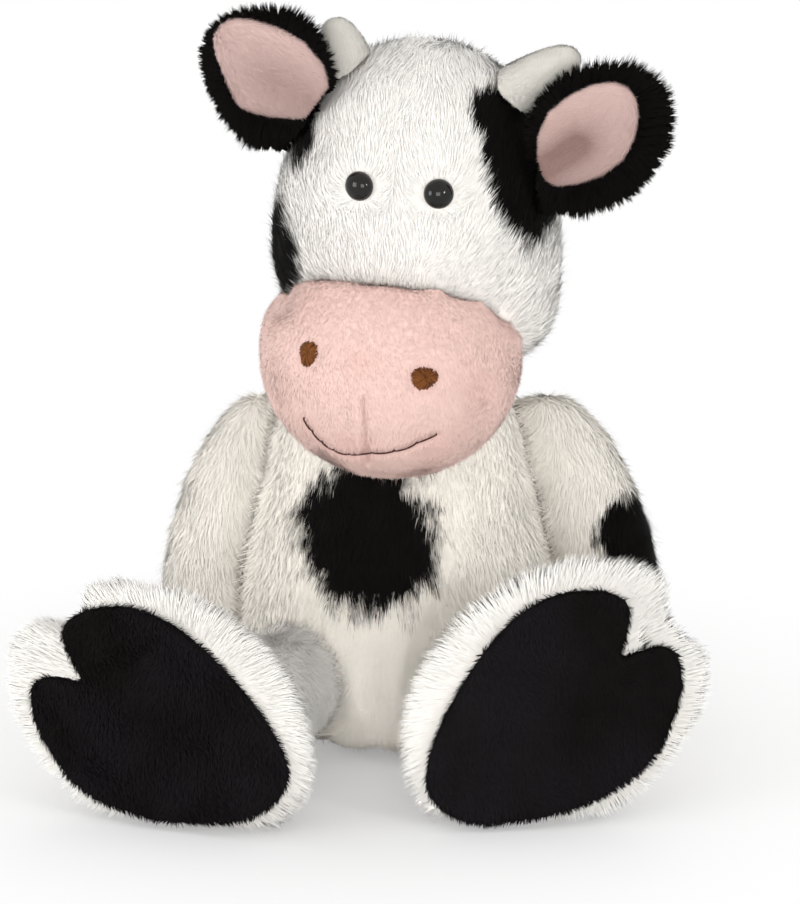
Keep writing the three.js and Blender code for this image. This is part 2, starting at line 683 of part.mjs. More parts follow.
// Arms
for (const side of sides) {
  const slope = radians(armSlope[side]);
  const forward = radians(armForward);
  const axis = new THREE.Vector3(-sign[side] * Math.sin(slope), Math.sin(forward), Math.cos(slope));
  const middle = shoulder[side].clone().add(scaled(armMiddleShares[side], arm.half));
  const frame = frameAt(middle, axis, new THREE.Vector3(0, sign[side], 0));
  const inward = flankNormal(side).negate();
  const armSolid = (sideCount, inset, rings) => {
    const form = solidOf(plump(arm, sideCount, inset, rings).applyMatrix4(frame));
    const seam = shoulder[side].clone().addScaledVector(inward, -seamGap - inset);
    return form.subtract(beyond(seam, inward)).subtract(belowFloor(inset));
  };
  const mouth = bar(shoulder[side], inward.clone().negate(), coverAndGap + seamGap, armOpeningRadius);
  const cavity = armSolid(sidesPerFilling, coverWall, fewer(arm.rings));
  addSolid(`arm_cover_${side}`, armSolid(sidesPerForm, 0, arm.rings).subtract(cavity).subtract(mouth), whitePile);
  addSolid(`arm_stuffing_${side}`, armSolid(sidesPerFilling, coverAndGap, fewer(arm.rings)), stuffingFibre);
}

// Legs with their feet, and the cloven sole pads
for (const side of sides) {
  const outer = legSolid(side, sidesPerForm);
  const cavity = legSolid(side, sidesPerFilling, coverWall);
  const mouth = bar(hip(side), legDirection(side).negate(), leg.rootRadius + overrun, legOpeningRadius);
  addSolid(`leg_cover_${side}`, outer.subtract(cavity).subtract(mouth), whitePile);
  addSolid(`leg_stuffing_${side}`, legSolid(side, sidesPerFilling, coverAndGap), stuffingFibre);
  const points = soleOutlineShares.map(([across, toe]) => new THREE.Vector2(
    -sign[side] * across * soleHalfWidth,
    toe * soleHalfLength,
  ));
  const outline = new THREE.Shape();
  outline.moveTo(points[0].x, points[0].y);
  outline.splineThru(points.slice(1).concat([points[0]]));
  const pad = new THREE.ExtrudeGeometry(outline, {
    depth: soleThickness,
    bevelEnabled: false,
    curveSegments: sidesPerSoleCurve,
  });
  pad.translate(0, soleShift, leg.length[side] + seamGap).applyMatrix4(legFrame(side));
  addSolid(`sole_pad_${side}`, solidOf(pad), blackPile);
}

// Tail: the tuft takes over where the cord ends
const droop = radians(tailDroop);
const tailDirection = new THREE.Vector3(0, Math.cos(droop), -Math.sin(droop));
const tailFrame = frameAt(tailRoot, tailDirection, new THREE.Vector3(1, 0, 0));
const cordForm = plump(tailCord, sidesPerRound).translate(0, 0, tailCord.half[2] - tailCord.half[0]);
const tuftPlace = 2 * tailCord.half[2] - 2 * tailCord.half[0] + tailTuft.half[2];
const tuft = (inset) => {
  const form = plump(tailTuft, sidesPerRound, inset).translate(0, 0, tuftPlace);
  return solidOf(form.applyMatrix4(tailFrame));
};
addSolid('tail_cord', solidOf(cordForm.applyMatrix4(tailFrame)).subtract(tuft(-seamGap)), whitePile);
addSolid('tail_tuft', tuft(0).subtract(belowFloor(0)), blackPile);

// The origin is at the middle of the whole part's underside
const box = new THREE.Box3().setFromObject(pieces);
const middle = box.getCenter(new THREE.Vector3());
pieces.position.set(-middle.x, -middle.y, -box.min.z);

export default pieces;
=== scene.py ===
# %% [markdown]
# # A seated plush cow
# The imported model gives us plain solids: where each part of the toy is and how big it is.
# This lesson turns them into fur, short plush, felt, plastic eyes and embroidery.
#
# Everything is in metres, +Z is up, and the toy's chest faces -Y. "Left" is the toy's own
# left, on +X. Places on the toy are written in millimetres and turned into metres by `mm`.

# %% The fixed frame
import math

import bmesh
import bpy
import numpy as np
from mathutils import Matrix, Vector, kdtree, noise
from mathutils.bvhtree import BVHTree


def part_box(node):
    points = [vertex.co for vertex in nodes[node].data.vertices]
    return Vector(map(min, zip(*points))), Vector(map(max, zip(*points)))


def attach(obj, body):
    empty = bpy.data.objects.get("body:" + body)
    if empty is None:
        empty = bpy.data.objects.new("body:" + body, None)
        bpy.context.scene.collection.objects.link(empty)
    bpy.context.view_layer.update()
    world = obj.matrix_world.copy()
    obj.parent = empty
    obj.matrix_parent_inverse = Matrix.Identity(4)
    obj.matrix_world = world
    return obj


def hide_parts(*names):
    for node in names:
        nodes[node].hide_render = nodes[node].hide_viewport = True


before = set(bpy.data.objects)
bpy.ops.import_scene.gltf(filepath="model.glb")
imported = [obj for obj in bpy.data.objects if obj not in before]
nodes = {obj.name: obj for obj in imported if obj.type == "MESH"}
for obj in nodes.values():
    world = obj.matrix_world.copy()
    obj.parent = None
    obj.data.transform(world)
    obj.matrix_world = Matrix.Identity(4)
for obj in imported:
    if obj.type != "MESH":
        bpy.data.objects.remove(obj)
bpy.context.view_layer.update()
mm = 0.001
sides = {"left": 1, "right": -1}
noise.seed_set(7)  # without a seed, Blender's vector noise starts from the clock


def set_all(thing, **settings):
    for key, value in settings.items():
        setattr(thing, key, value)


def add_object(name, data):
    made = bpy.data.objects.new(name, data)
    bpy.context.collection.objects.link(made)
    return made


print(len(nodes), "CAD nodes")

# %% [markdown]
# ## The camera
# The photo looks at the toy from a little above and from far away. A short lens close by
# would swell the soles, so we stand 1.6 m off with a long lens.

# %% Camera
camera_data = bpy.data.cameras.new("camera")
camera = add_object("camera", camera_data)
bpy.context.scene.camera = camera
camera_height = 14.0  # degrees above the horizon
camera.location = Vector((13.8, -1577.7, 493.5)) * mm
camera.rotation_euler = (math.radians(90 - camera_height), 0, 0)
set_all(camera_data, sensor_width=36, lens=187.4, clip_start=0.1, clip_end=20)
print("camera", [round(c, 3) for c in camera.location])

# %% [markdown]
# ## Writing shader maths as Python
# A material that varies needs many small nodes, and a long list of nodes is hard to read.
# This class wraps one output socket, so that `1 - mask * 0.5` adds the Math nodes for us.


# %% A socket that can be added and multiplied
class Sock:
    def __init__(self, tree, socket):
        self.tree = tree
        self.socket = socket

    def maths(self, operation, *values):
        node = self.tree.nodes.new("ShaderNodeMath")
        node.operation = operation
        for value, socket in zip(values, node.inputs):
            plug(self.tree, value, socket)
        return Sock(self.tree, node.outputs[0])

    def __add__(self, other):
        return self.maths("ADD", self, other)

    def __rsub__(self, other):
        return self.maths("SUBTRACT", other, self)

    def __mul__(self, other):
        return self.maths("MULTIPLY", self, other)

    __radd__ = __add__
    __rmul__ = __mul__


def plug(tree, value, socket):
    if isinstance(value, Sock):
        tree.links.new(value.socket, socket)
    elif hasattr(value, "__len__") and len(value) < len(socket.default_value):
        socket.default_value = [*value, 1.0]
    else:
        socket.default_value = value


class Finish:
    """A material with one Principled shader, and a method that adds any other node.

    An input is given by its name, or as i0, i1 and so on.
    """

    def __init__(self, name, **constants):
        self.material = bpy.data.materials.new(name)
        self.material.use_nodes = True
        self.tree = self.material.node_tree
        self.shader = self.tree.nodes["Principled BSDF"]
        for key, value in constants.items():
            plug(self.tree, value, self.shader.inputs[key.replace("_", " ")])

    def node(self, kind, out=0, settings=None, **links):
        made = self.tree.nodes.new("ShaderNode" + kind)
        set_all(made, **(settings or {}))
        for key, value in links.items():
            numbered = key[0] == "i" and key[1:].isdigit()
            plug(self.tree, value, made.inputs[int(key[1:]) if numbered else key.replace("_", " ")])
        return Sock(self.tree, made.outputs[out])

    def mix(self, share, first, second):
        return self.node("Mix", out=2, settings={"data_type": "RGBA"}, i0=share, i6=first, i7=second)

    def attribute(self, name):
        return self.node("Attribute", out=2, settings={"attribute_name": name})

    def spots(self, scale, detail):
        place = self.node("TexCoord", out=3)
        return self.node("TexNoise", Vector=place, Scale=scale, Detail=detail)

    def wear(self, color, roughness):
        plug(self.tree, color, self.shader.inputs["Base Color"])
        plug(self.tree, roughness, self.shader.inputs["Roughness"])


print("shader helpers ready")

# %% [markdown]
# ## Pile fabric
# Fur could be a hair system, but hair isn't a mesh and doesn't leave Blender. So each
# fibre is a thin spike in the mesh. It carries three values for its material: one says how
# dark that fibre was dyed on the patches, and how much painted shade it gets on the muzzle,
# the ear linings and the soles; `rise` runs from its root to its tip, and `tone` is a small
# difference between fibres. Pale pile is painted darker at the roots, as painted shade deep in
# the pile, and black pile is painted lighter at the tips, a painted highlight.


# %% Pile materials
def pile_finish(name, root, tip, dark_root, dark_tip, roughness=0.8, sheen=0.0, mottle=0.12, shine=0.04):
    finish = Finish(name, Specular_IOR_Level=shine, Sheen_Weight=sheen, Sheen_Roughness=0.5)
    rise = finish.attribute("rise")
    tone = finish.attribute("tone")
    dye_and_shade = finish.attribute("dye_and_shade")
    # Pale pile's roots are darker than its tips, painted shade deep in the pile, and black pile's tips are lighter, a
    # painted highlight.
    pale = finish.mix(rise, root, tip)
    dark = finish.mix(rise * (0.3 + tone * 0.7), dark_root, dark_tip)
    shade = finish.mix(tone * mottle, pale, [c * 0.65 for c in root])
    # One value mixes in the dark colour: the dye of the patches, and painted shade on the muzzle, the ear linings and
    # the soles.
    finish.wear(finish.mix(dye_and_shade, shade, dark), roughness - 0.12 * tone)
    return finish.material


# The lighter tip is a painted highlight.
black_with_lit_tips = ((0.0025, 0.002, 0.0018), (0.007, 0.0055, 0.005))  # root and tip of black pile
white_pile = pile_finish("white_pile", (0.92, 0.885, 0.83), (0.95, 0.93, 0.895), *black_with_lit_tips, sheen=0.04, mottle=0.05)
cream_pile = pile_finish("cream_pile", (0.93, 0.875, 0.785), (0.96, 0.92, 0.85), *black_with_lit_tips, sheen=0.04, mottle=0.05)
black_pile = pile_finish("black_pile", *black_with_lit_tips, *black_with_lit_tips, 0.7)
# The soles' tips are painted lighter, and their darker patches take the black pair: painted sheen and shade.
sole_pile = pile_finish("sole_pile", (0.003, 0.0024, 0.003), (0.0125, 0.0095, 0.012), *black_with_lit_tips, 0.62, shine=0.05)
# Its darker pair is painted shade for the muzzle's crease, mouth and nostrils.
pink_pile = pile_finish("pink_pile", (0.82, 0.57, 0.51), (0.85, 0.635, 0.58), (0.66, 0.34, 0.30), (0.74, 0.42, 0.37))
# Its darker pair is painted shade along the ear linings' folds.
lining_pile = pile_finish("lining_pile", (0.61, 0.43, 0.395), (0.68, 0.51, 0.475),
                          (0.27, 0.17, 0.15), (0.36, 0.24, 0.215))
horn_felt = pile_finish("horn_felt", (0.70, 0.67, 0.61), (0.80, 0.775, 0.72), (0.45, 0.42, 0.37), (0.55, 0.52, 0.47))
print("pile finishes", [m.name for m in bpy.data.materials])

# %% [markdown]
# ## Plastic and thread
# The safety eyes are polished black plastic. The washers that lock them inside the head
# have faint moulding marks, and each thread's brown differs a little from the next.

# %% Plastic and thread materials
eye_plastic = Finish("eye_plastic", Specular_IOR_Level=0.3)
smears = eye_plastic.spots(260, 3)
eye_black = eye_plastic.mix(smears, (0.004, 0.0035, 0.0035), (0.010, 0.009, 0.008))
eye_plastic.wear(eye_black, 0.08 + 0.06 * smears)

washer_plastic = Finish("washer_plastic", Specular_IOR_Level=0.4)
marks = washer_plastic.spots(400, 2)
washer_white = washer_plastic.mix(marks, (0.80, 0.79, 0.76), (0.88, 0.87, 0.85))
washer_plastic.wear(washer_white, 0.4 + 0.15 * marks)

brown_thread = pile_finish("brown_thread", (0.10, 0.03, 0.008), (0.24, 0.085, 0.02), *black_with_lit_tips, 0.5, sheen=0.1, mottle=0.6)
dark_thread = pile_finish("dark_thread", (0.05, 0.02, 0.016), (0.09, 0.04, 0.034), *black_with_lit_tips, 0.6, sheen=0.05, mottle=0.5)
for side in sides:
    washer = nodes[f"eye_washer_{side}"]
    washer.data.materials.clear()
    washer.data.materials.append(washer_plastic.material)
print("plastic and thread finishes ready")

# %% [markdown]
# ## From CAD solids to a soft skin
# The CAD gives a faceted cover with its filling inside. The fabric's backing lies a few
# millimetres under the ends of the pile. So we join the solids, remesh them into one
# closed form and draw the surface in.
#
# A stuffed cover is fabric under pressure, so a short cloth simulation tightens the broad
# faces and leaves the seams, which we pin, a little lower. Smoothing shrinks a round form,
# so at the end the skin is stretched back to the CAD's box less the pile.


# %% Skins
def use(piece):
    bpy.ops.object.select_all(action="DESELECT")
    piece.select_set(True)
    bpy.context.view_layer.objects.active = piece


def joined_nodes(name, covers, fillings=(), plugs=(), swell=0.5 * mm):
    """One object that holds copies of the covers and, pushed out to touch them, the fillings."""
    shape = bmesh.new()
    for node in [*covers, *fillings]:
        part = bmesh.new()
        part.from_mesh(nodes[node].data)
        bmesh.ops.remove_doubles(part, verts=part.verts, dist=0.001 * mm)
        if node in fillings:
            part.normal_update()
            for vert in part.verts:
                vert.co += vert.normal * swell
        scratch = bpy.data.meshes.new("scratch")
        part.to_mesh(scratch)
        part.free()
        shape.from_mesh(scratch)
        bpy.data.meshes.remove(scratch)
    for centre, radius in plugs:
        bmesh.ops.create_icosphere(shape, subdivisions=2, radius=radius, matrix=Matrix.Translation(centre))
    mesh = bpy.data.meshes.new(name)
    shape.to_mesh(mesh)
    shape.free()
    return add_object(name, mesh)


def apply_modifier(piece, kind, **settings):
    use(piece)
    modifier = piece.modifiers.new(kind.lower(), kind)
    set_all(modifier, **settings)
    bpy.ops.object.modifier_apply(modifier=modifier.name)


def keep_largest(piece):
    """Drops the closed bubbles that a remesh leaves inside."""
    shape = bmesh.new()
    shape.from_mesh(piece.data)
    left = set(shape.verts)
    islands = []
    while left:
        island = set()
        front = [left.pop()]
        while front:
            vert = front.pop()
            island.add(vert)
            fresh = {edge.other_vert(vert) for edge in vert.link_edges} & left
            left -= fresh
            front.extend(fresh)
        islands.append(island)
    islands.sort(key=len)
    for island in islands[:-1]:
        bmesh.ops.delete(shape, geom=list(island), context="VERTS")
    shape.to_mesh(piece.data)
    shape.free()


def unit(vectors):
    return vectors / np.maximum(np.linalg.norm(vectors, axis=-1, keepdims=True), 1e-12)


def lengths_of(vectors):
    return np.linalg.norm(vectors, axis=1)


def bell(far, width):
    """1 at no distance, and falling smoothly to almost nothing at twice the width."""
    return np.exp(-((far / width) ** 2))


def bell_at(points, place, size):
    """A bell round a place, with a width along each axis, all in millimetres."""
    return bell(lengths_of((points / mm - place) / size), 1)


def places(piece, what="co"):
    values = np.zeros(len(piece.data.vertices) * 3)
    piece.data.vertices.foreach_get(what, values)
    return values.reshape(-1, 3)


def normals_of(piece):
    return places(piece, "normal")


def box_of(piece):
    points = places(piece)
    return points.min(0), points.max(0)


def put(piece, points):
    piece.data.vertices.foreach_set("co", np.ascontiguousarray(points).ravel())
    piece.data.update()


fabric = {"quality": 5, "mass": 0.15, "tension_stiffness": 12, "compression_stiffness": 12, "bending_stiffness": 0.4}
cloth_frames = 20
cloth_voxel = 4.4 * mm
cloth_cap = 1.6 * mm
cloth_swell = 0.8 * mm  # the skin starts this much smaller, because pressure swells it


def inflate(piece, pressure, seams=None):
    """Cloth under pressure for 20 frames. Pinned seams stay, and no point moves past the cap."""
    before = places(piece)
    use(piece)
    modifier = piece.modifiers.new("cloth", "CLOTH")
    cloth = modifier.settings
    set_all(cloth, use_pressure=True, uniform_pressure_force=pressure, **fabric)
    cloth.effector_weights.gravity = 0
    if seams is not None:
        group = piece.vertex_groups.new(name="seams")
        group.add([int(i) for i in np.nonzero(seams(before))[0]], 1.0, "REPLACE")
        cloth.vertex_group_mass = "seams"
    modifier.point_cache.frame_end = cloth_frames
    for number in range(cloth_frames):
        bpy.context.scene.frame_set(number + 1)
    bpy.ops.object.modifier_apply(modifier=modifier.name)
    bpy.context.scene.frame_set(1)
    piece.vertex_groups.clear()
    move = places(piece) - before
    far = np.linalg.norm(move, axis=1, keepdims=True)
    put(piece, before + move * np.minimum(1, cloth_cap / np.maximum(far, 1e-9)))
    return float(far.mean()) / mm


def soft_skin(name, covers, fillings=(), plugs=(), voxel=2.2 * mm, smoothing=8, inset=3.0 * mm, pressure=0,
              seams=None):
    """The covers and fillings as one smooth skin, drawn in by the inset and stuffed if there is pressure."""
    piece = joined_nodes(name, covers, fillings)
    low, high = box_of(piece)
    if plugs:
        bpy.data.objects.remove(piece)
        piece = joined_nodes(name, covers, fillings, plugs)
    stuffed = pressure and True
    apply_modifier(piece, "REMESH", mode="VOXEL", voxel_size=cloth_voxel if stuffed else voxel)
    keep_largest(piece)
    apply_modifier(piece, "SMOOTH", factor=0.5, iterations=3 if stuffed else smoothing)
    if stuffed:
        apply_modifier(piece, "DISPLACE", strength=-inset - cloth_swell, mid_level=0.0)
        moved = inflate(piece, pressure, seams)
        apply_modifier(piece, "SUBSURF", levels=1)
        apply_modifier(piece, "SMOOTH", factor=0.5, iterations=2)
        print(name, "moved by the cloth", round(moved, 2), "mm")
    elif inset:
        apply_modifier(piece, "DISPLACE", strength=-inset, mid_level=0.0)
        apply_modifier(piece, "SMOOTH", factor=0.5, iterations=4)
    now_low, now_high = box_of(piece)
    share = (high - low - 2 * inset) / (now_high - now_low)
    put(piece, (places(piece) - (now_low + now_high) / 2) * share + (low + high) / 2)
    use(piece)
    bpy.ops.object.shade_smooth()
    return piece


def stuffed_skin(part, side, **settings):
    return soft_skin(f"{part}_skin_{side}", [f"{part}_cover_{side}"], [f"{part}_stuffing_{side}"], **settings)


print("skin helpers ready")

# %% [markdown]
# ## Seams and creases
# A seam is a narrow valley, and the remesh would smooth it away. So afterwards every
# vertex near a line of points sinks along its normal.


# %% Grooves
def off_line(points, line):
    """How far each point is from a line of points, in metres."""
    nearest = np.full(len(points), 1e9)
    for a, b in zip(line[:-1], line[1:]):
        way = b - a
        share = np.clip(((points - a) @ way) / (way @ way), 0, 1)
        nearest = np.minimum(nearest, lengths_of(points - a - share[:, None] * way))
    return nearest


def groove(piece, line, depth, width):
    points = places(piece)
    sink = depth * bell(off_line(points, line), width)
    put(piece, points - normals_of(piece) * sink[:, None])


def skin_tree(piece):
    return BVHTree.FromPolygons([Vector(p) for p in places(piece)], [list(f.vertices) for f in piece.data.polygons])


def on_skin(tree, place):
    """The skin's point and normal nearest to a place given in millimetres."""
    hit, normal, _, _ = tree.find_nearest(Vector(place) * mm)
    return np.array(hit), np.array(normal)


def smooth_line(points, steps=10):
    """A Catmull-Rom curve through the points."""
    points = np.array(points, float)
    ends = np.concatenate([[2 * points[0] - points[1]], points, [2 * points[-1] - points[-2]]])
    line = []
    for i in range(1, len(ends) - 2):
        p0, p1, p2, p3 = ends[i - 1:i + 3]
        for t in np.arange(steps) / steps:
            line.append(0.5 * (2 * p1 + (p2 - p0) * t + (2 * p0 - 5 * p1 + 4 * p2 - p3) * t ** 2
                               + (3 * p1 - p0 - 3 * p2 + p3) * t ** 3))
    return np.array([*line, points[-1]])


def evened(pairs, passes=12):
    """The points and normals of a line on the skin, smoothed along the line."""
    points, normals = (np.array(part) for part in zip(*pairs))
    for _ in range(passes):
        for row in (points, normals):
            row[1:-1] = (row[:-2] + 2 * row[1:-1] + row[2:]) / 4
    return points, unit(normals)


print("groove helpers ready")

# %% [markdown]
# ## Growing the pile
# `grow` scatters roots evenly over a skin and sets one closed spike on each, flattened
# like a blade of grass, so that a modest number of them covers the skin. A comb function
# gives the direction in which the fabric was brushed. Most fibres lie flat, a few stand up
# and soften the outline, and tips cling in tufts. Where another part is close, both parts'
# fibres meet half-way, which closes the gap.


# %% Fibres
def scatter(piece, count, dice):
    """Roots and their normals, spread evenly over the skin by area."""
    points = places(piece)
    normals = normals_of(piece)
    piece.data.calc_loop_triangles()
    triangles = np.zeros(len(piece.data.loop_triangles) * 3, int)
    piece.data.loop_triangles.foreach_get("vertices", triangles)
    triangles = triangles.reshape(-1, 3)
    a, b, c = (points[triangles[:, i]] for i in range(3))
    area = lengths_of(np.cross(b - a, c - a))
    strip = 6 * mm
    order = np.lexsort((a[:, 0], np.round(a[:, 1] / strip), np.round(a[:, 2] / strip)))
    total = np.cumsum(area[order])
    spots = (np.arange(count) + dice.random(count)) / count * total[-1]
    chosen = order[np.minimum(np.searchsorted(total, spots), len(order) - 1)]
    uv = dice.random((2, count))
    uv = np.where(uv.sum(0) > 1, 1 - uv, uv)
    share = np.stack([1 - uv[0] - uv[1], *uv], 1)[:, :, None]
    corners = triangles[chosen]
    return (points[corners] * share).sum(1), unit((normals[corners] * share).sum(1))


def waver(points, size, seed, kind=noise.noise):
    """A smooth random number or vector at each point, which changes over about the given size."""
    shift = Vector((seed * 7.13, seed * 3.71, seed * 5.39))
    return np.array([kind(Vector(p) / size + shift) for p in points])


def flatten(vectors, normals):
    """The part of each vector that lies along the surface, at length 1."""
    return unit(vectors - normals * (vectors * normals).sum(1, keepdims=True))


def draw_together(tips, lock, cling, dice):
    """Moves each tip part of the way to the middle of the tuft that it belongs to."""
    cells = {}
    jitter = dice.random(3) * lock
    for i, key in enumerate(map(tuple, np.floor((tips + jitter) / lock).astype(int))):
        cells.setdefault(key, []).append(i)
    tree = kdtree.KDTree(len(cells))
    for i, members in enumerate(cells.values()):
        tree.insert(tips[members].mean(0), i)
    tree.balance()
    nearest = np.array([tree.find(tip)[0] for tip in tips])
    share = cling * (0.3 + 0.9 * dice.random(len(tips)))
    return tips + (nearest - tips) * share[:, None]


floor_clearance = 0.4 * mm
tip_clearance = 0.3 * mm  # between the tips and a neighbour
blade = np.array([[0, 1, 3], [1, 2, 3], [2, 0, 3], [0, 2, 1]])
side_uv = [[0, 0], [1, 0], [0.5, 1]]
turned_uv = [[1, 0], [0, 0], [0.5, 1]]
blade_uv = np.array([*side_uv, *turned_uv, *turned_uv, [0, 0], [0.5, 0.1], [1, 0]])
skin_uv = np.array([[0, 0], [1, 0], [1, 1], [0, 1]])
open_air = 9.0  # metres of room in front of a root that has no neighbour
flat_room = 1.2 * mm  # with less room than this the fibre lies flat
touch_room = 3.9 * mm  # with less it leans over, and with more it meets the neighbour's pile half-way
touch_length = 2.8 * mm
flat_lean, touch_lean, meet_lean = 80, 55, 24


def grow(skin, name, material, count, length, comb, lean=75, loose=0.14, loose_lean=42, width=0.3 * mm, seed=1,
         dye_and_shade=None, stray=0.3, cling=0.15, lock=3.0 * mm, near=(), under=(), bare=None, soft=0.95,
         closest=1.2 * mm, bridge=0.0, trim=0.0, reach=11 * mm, face=None):
    """Joins a pile of spikes to the skin. Leans are in degrees from the surface normal.

    `loose` is the share that stands up, and `cling` and `lock` make the tufts. The pile
    makes room for the nodes in `near`. None grows below those in `under` or where `bare`
    says so. Near a neighbour `bridge` pulls fibres over and `trim` cuts them.
    """
    dice = np.random.default_rng(seed)
    roots, normals = scatter(skin, count, dice)
    others = neighbours(*near) if near else None
    room = gaps(others, roots, normals, reach)
    kept = room > closest
    if under:
        kept &= gaps(neighbours(*under), roots, normals, 6 * mm) == open_air
    if bare is not None:
        kept &= ~bare(roots)
    roots, normals, room = roots[kept], normals[kept], room[kept]
    count = len(roots)
    lengths = (length(roots) if callable(length) else np.full(count, length)) * (0.7 + 0.5 * dice.random(count))
    if trim:
        beside = np.array([others.find_nearest(Vector(root), trim)[3] or trim for root in roots])
        lengths *= np.clip(beside / trim, 0.3, 1)
    walled = room < open_air
    touching = room < touch_room
    facing = walled & ~touching
    lengths = np.where(touching, np.clip(room * 1.5, touch_length, lengths), np.where(facing, room * 0.78, lengths))
    along = comb(roots, normals) + stray * waver(roots, 13 * mm, seed, noise.noise_vector)
    if bridge:
        pulls = pull_of(others, roots, 9 * mm)
        along += bridge * pulls
        lengths *= 1 + np.where(walled, 0.0, 0.7) * lengths_of(pulls)
    along = flatten(along, normals)
    standing = dice.random(count) < loose
    angle = np.where(standing, loose_lean, lean) + 7 * dice.standard_normal(count)
    angle = np.where(facing, meet_lean + 14 * dice.standard_normal(count), np.where(touching, touch_lean, angle))
    angle = np.radians(np.where(room < flat_room, flat_lean, angle))
    way = normals * np.cos(angle)[:, None] + along * np.sin(angle)[:, None]
    way = unit(way + 0.09 * dice.standard_normal((count, 3)))
    tips = roots + way * lengths[:, None]
    if cling:
        tips = draw_together(tips, lock, cling, dice)
    if others:
        for i, tip in enumerate(tips):
            hit, out, _, _ = others.find_nearest(Vector(tip), 2.5 * mm)
            if hit is not None and (Vector(tip) - hit).dot(out) < tip_clearance:
                tips[i] = np.array(hit + out * tip_clearance)
    tips[:, 2] = np.maximum(tips[:, 2], floor_clearance + 0.5 * mm * dice.random(count))
    way = unit(tips - roots)
    across = unit(np.cross(way, normals))
    below = unit(np.cross(way, across))
    below = np.where((below * normals).sum(1, keepdims=True) > 0, -below, below)
    roll = (0.3 * dice.standard_normal(count))[:, None]
    across, below = across * np.cos(roll) + below * np.sin(roll), below * np.cos(roll) - across * np.sin(roll)
    broad = width * (0.7 + 0.6 * dice.random(count)) * np.where(standing, 0.6, 1.0) * np.where(walled, 1.6, 1.0)
    broad = broad[:, None]
    rows = [roots - across * broad, roots + across * broad, roots + below * broad * 0.5, tips]
    verts = np.stack(rows, 1)
    inside_out = np.einsum("ij,ij->i", np.cross(verts[:, 1] - verts[:, 0], verts[:, 3] - verts[:, 0]), below) > 0
    verts[inside_out, 0], verts[inside_out, 1] = verts[inside_out, 1].copy(), verts[inside_out, 0].copy()
    faces = (blade[None] + (np.arange(count) * 4)[:, None, None]).reshape(-1, 3)
    own = unit(verts - verts.mean(1, keepdims=True))
    outward = normals if face is None else unit(normals + face(roots) * np.clip(0.4 - normals[:, 1:2], 0, 1))
    shading = unit(outward[:, None] * soft + own * (1 - soft))
    tuft = waver(roots, 7 * mm, seed + 3)
    tones = np.clip(0.35 + 0.3 * dice.random(count) + 0.6 * tuft, 0, 1)
    # The dark value holds the patches' dye and, on the muzzle, the ear linings and the soles, painted shade.
    values = {
        "rise": np.tile([0.0, 0.0, 0.0, 1.0], count),
        "tone": np.repeat(tones, 4),
        "dye_and_shade": np.repeat(np.zeros(count) if dye_and_shade is None else dye_and_shade(roots, dice), 4),
    }
    return join_pile(skin, name, material, verts.reshape(-1, 3), faces, shading.reshape(-1, 3), values, dye_and_shade, dice)


def gaps(tree, roots, normals, reach):
    """How much room there is in front of each root."""
    room = np.full(len(roots), open_air)
    if tree:
        for i, (root, normal) in enumerate(zip(roots, normals)):
            gap = tree.ray_cast(Vector(root), Vector(normal), reach)[3]
            room[i] = open_air if gap is None else gap
    return room


def pull_of(tree, roots, reach):
    """A vector from each root towards the neighbour, longer the nearer it is."""
    pulls = np.zeros((len(roots), 3))
    for i, root in enumerate(roots):
        hit, _, _, gap = tree.find_nearest(Vector(root), reach)
        if hit is not None:
            pulls[i] = (np.array(hit) - root) / max(gap, 0.1 * mm) * math.exp(-((gap / (5 * mm)) ** 2))
    return pulls


valley = 1.0 * mm  # the room that `nestle` leaves between two parts


def nestle(piece, near, most):
    """Lets the skin swell towards a neighbour, by this much at most."""
    points = places(piece)
    normals = normals_of(piece)
    room = gaps(neighbours(*near), points, normals, 11 * mm)
    swell = np.clip(room - valley, 0, most) * np.clip((most + 5 * mm - room) / (3 * mm), 0, 1)
    ends = np.zeros(len(piece.data.edges) * 2, int)
    piece.data.edges.foreach_get("vertices", ends)
    a, b = ends.reshape(-1, 2).T
    degree = np.bincount(ends, minlength=len(points))
    for _ in range(5):
        total = np.bincount(a, swell[b], len(points)) + np.bincount(b, swell[a], len(points))
        swell = (swell + total / degree) / 2
    put(piece, points + normals * swell[:, None])


def write_values(mesh, values):
    for key, value in values.items():
        mesh.attributes.new(key, "FLOAT", "POINT").data.foreach_set("value", value.astype(np.float32))


